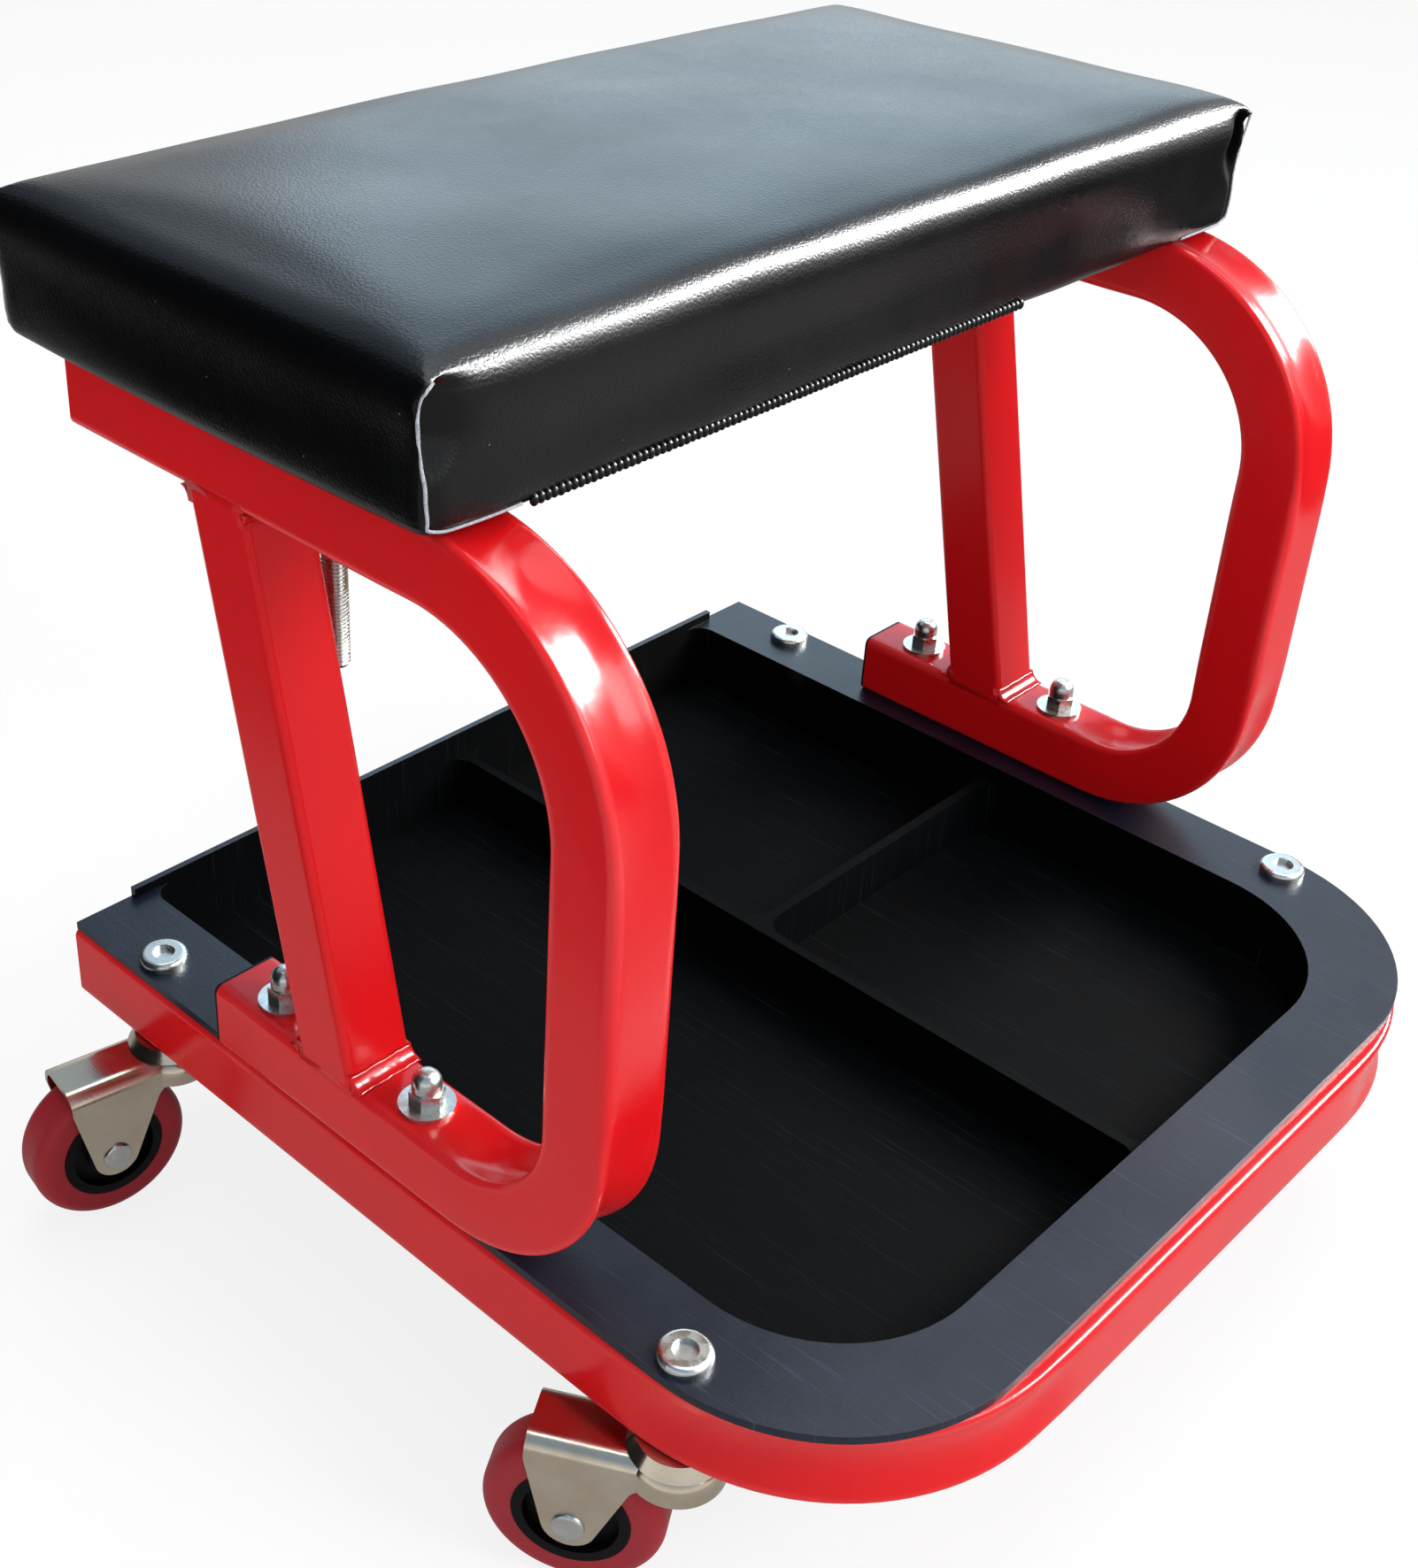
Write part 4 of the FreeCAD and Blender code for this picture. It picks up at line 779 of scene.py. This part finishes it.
# The moulded tray with its edges eased, as a mould leaves them
trayEdge = {"ease": 0.0008, "segments": 2, "sharp": 35, "even": 0.5, "same": 1e-6, "flangeUp": 0.0012}


def easedCopy(node, name, finish):
    mesh = nodes[node].data.copy()
    work = bmesh.new()
    work.from_mesh(mesh)
    bmesh.ops.remove_doubles(work, verts=work.verts, dist=trayEdge["same"])
    bmesh.ops.dissolve_limit(work, angle_limit=math.radians(trayEdge["even"]), verts=work.verts, edges=work.edges)
    work.to_mesh(mesh)
    work.free()
    piece = meshPiece(name, mesh, finish)
    ease = piece.modifiers.new("ease", "BEVEL")
    ease.width, ease.segments = trayEdge["ease"], trayEdge["segments"]
    ease.limit_method, ease.angle_limit = "ANGLE", math.radians(trayEdge["sharp"])
    even = piece.modifiers.new("even", "WEIGHTED_NORMAL")
    piece.data = evaluated(piece)
    piece.modifiers.remove(ease)
    piece.modifiers.remove(even)
    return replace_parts(piece, node)


tray = easedCopy("tool_tray", "mouldedTray", trayBlackShadePainted)
tray.data.materials.append(traySheenPainted)
# Faces above the flange height take the copy with the painted blue-grey reflection, the rest the copy with painted
# shade
for face in tray.data.polygons:
    face.material_index = int(face.center.z > baseHigh.z + trayEdge["flangeUp"])
print("stud and tray done")

# Camera, floor and light
studio = {"place": (-0.4917, -0.3604), "above": 0.4624, "yaw": -0.826, "pitch": -0.533, "roll": 0.045,
          "focalPx": 2346.7, "centrePx": (689.1, 774.6), "framePx": (1602, 1772)}


def placeCamera():
    yaw, pitch, roll = studio["yaw"], studio["pitch"], studio["roll"]
    ahead = Vector((-math.sin(yaw) * math.cos(pitch), math.cos(yaw) * math.cos(pitch), math.sin(pitch)))
    right = Vector((math.cos(yaw), math.sin(yaw), 0))
    up = right.cross(ahead)
    right, up = math.cos(roll) * right + math.sin(roll) * up, math.cos(roll) * up - math.sin(roll) * right
    data = bpy.data.cameras.new("photoCamera")
    camera = bpy.data.objects.new("photoCamera", data)
    scene.collection.objects.link(camera)
    turn = Matrix((right, up, -ahead)).transposed().to_4x4()
    camera.matrix_world = Matrix.Translation((*studio["place"], baseHigh.z + studio["above"])) @ turn
    width, height = studio["framePx"]
    data.sensor_width = 36
    data.lens = studio["focalPx"] * data.sensor_width / height
    data.shift_x = (width / 2 - studio["centrePx"][0]) / height
    data.shift_y = (studio["centrePx"][1] - height / 2) / height
    data.clip_start, data.clip_end = 0.01, 50
    scene.camera = camera


placeCamera()
lamps = {"key": {"place": (0.6, -1.9, 1.5), "aim": (0, 0, 0.25), "size": (1.0, 1.0), "watts": 37},
         "fill": {"place": (-1.9, -0.9, 1.5), "aim": (0, 0, 0.2), "size": (1.6, 1.6), "watts": 7, "dull": True},
         "top": {"place": (0.3, 0.2, 2.2), "aim": (0, 0, 0.2), "size": (1.4, 1.4), "watts": 20},
         "strip": {"place": (1.62, -0.93, 1.45), "aim": (0, 0, 0.35), "size": (1.6, 0.7), "roll": -0.74, "watts": 300,
                   "shineOnly": True},
         "back": {"place": (1.65, 1.3, 1.4), "aim": (0, 0.05, 0.3), "size": (1.6, 1.6), "watts": 15,
                  "tint": (0.55, 0.82, 1.0), "shineOnly": True}}
for name, lamp in lamps.items():
    light = bpy.data.lights.new(name, "AREA")
    light.shape = "RECTANGLE"
    light.size, light.size_y = lamp["size"]
    light.energy, light.color = lamp["watts"], lamp.get("tint", (1, 1, 1))
    holder = bpy.data.objects.new(name, light)
    scene.collection.objects.link(holder)
    holder.location = lamp["place"]
    holder.visible_diffuse = not lamp.get("shineOnly", False)
    holder.visible_glossy = not lamp.get("dull", False)
    turn = (Vector(lamp["aim"]) - Vector(lamp["place"])).to_track_quat("-Z", "Y").to_matrix()
    holder.rotation_euler = (turn @ Matrix.Rotation(lamp.get("roll", 0), 3, "Z")).to_euler()


# What the camera and the shiny surfaces see, as against what only lights the object
def seenRays(tree):
    ray = addNode(tree, "ShaderNodeLightPath").outputs
    seen = addNode(tree, "ShaderNodeMath", {0: ray["Is Camera Ray"], 1: ray["Is Glossy Ray"]}, operation="MAXIMUM")
    seen = addNode(tree, "ShaderNodeMath", {0: seen.outputs[0], 1: ray["Is Transmission Ray"]}, operation="MAXIMUM")
    return ray, seen.outputs[0]


# The world lights the object dimly, and is seen as white that turns to a pale blue overhead
backdrop = {"light": "#f4f6fa", "strength": 0.45, "overhead": "#9fb6cf", "from": 0.2, "to": 0.7}
world = bpy.data.worlds.new("paleStudio")
world.use_nodes = True
scene.world = world
sky = world.node_tree
sky.nodes.clear()
_, seen = seenRays(sky)
dim = addNode(sky, "ShaderNodeBackground", {"Color": linear(backdrop["light"]), "Strength": backdrop["strength"]})
height = addNode(sky, "ShaderNodeSeparateXYZ", {"Vector": addNode(sky, "ShaderNodeTexCoord").outputs["Generated"]})
rise = ranged(sky, height.outputs["Z"], (backdrop["from"], backdrop["to"]))
ceiling = mixed(sky, rise, (1, 1, 1, 1), linear(backdrop["overhead"]))
white = addNode(sky, "ShaderNodeBackground", {"Color": ceiling, "Strength": 1.0})
both = addNode(sky, "ShaderNodeMixShader", {0: seen, 1: dim.outputs[0], 2: white.outputs[0]})
addNode(sky, "ShaderNodeOutputWorld", {"Surface": both.outputs[0]})


def stagePiece(name, corners, hexCode):
    material, tree, _ = newMaterial(name)
    finishMaterial(tree, {"Base Color": linear(hexCode), "Roughness": 0.9, "Specular IOR Level": 0.1})
    mesh = bpy.data.meshes.new(name)
    mesh.from_pydata(corners, [], [(0, 1, 2, 3)])
    mesh.materials.append(material)
    piece = bpy.data.objects.new(name, mesh)
    scene.collection.objects.link(piece)
    return piece


# The floor is mostly its own white when seen directly, and a dimmer grey in a reflection.
# The rest of what shows on it is made by the lamps and the shadows.
ground = {"reach": 6, "colour": "#f2f2f2", "ownShare": 0.8, "direct": 1.04, "mirrored": 0.42}
reach = ground["reach"]
floor = stagePiece("paleFloor", [(-reach, -reach, 0), (reach, -reach, 0), (reach, reach, 0), (-reach, reach, 0)],
                   ground["colour"])
tree = floor.data.materials[0].node_tree
lit = next(n for n in tree.nodes if n.type == "BSDF_PRINCIPLED")
shown = next(n for n in tree.nodes if n.type == "OUTPUT_MATERIAL")
ray, seen = seenRays(tree)
level = ranged(tree, ray["Is Glossy Ray"], toRange=(ground["direct"], ground["mirrored"]))
glow = addNode(tree, "ShaderNodeEmission", {"Color": (1, 1, 1, 1), "Strength": level})
both = addNode(tree, "ShaderNodeMixShader", {0: product(tree, seen, ground["ownShare"]), 1: lit.outputs["BSDF"],
                                             2: glow.outputs["Emission"]})
tree.links.new(both.outputs[0], shown.inputs["Surface"])

# Dark screens out of the picture, that only shiny surfaces see: two corners on the floor and a height
screens = {"darkScreenLeft": ((-0.40, 0.02), (-0.40, 1.6), 0.9),
           "darkScreenRight": ((0.75, -1.3), (0.75, 0.1), 0.26),
           "darkScreenRear": ((-0.75, 2.4), (0.75, 2.4), 1.6)}
for name, (first, last, up) in screens.items():
    screen = stagePiece(name, [(*first, 0.0), (*last, 0.0), (*last, up), (*first, up)], "#101114")
    screen.visible_camera = screen.visible_diffuse = screen.visible_shadow = False
scene.view_settings.view_transform = "Standard"
print("camera, floor and light done")
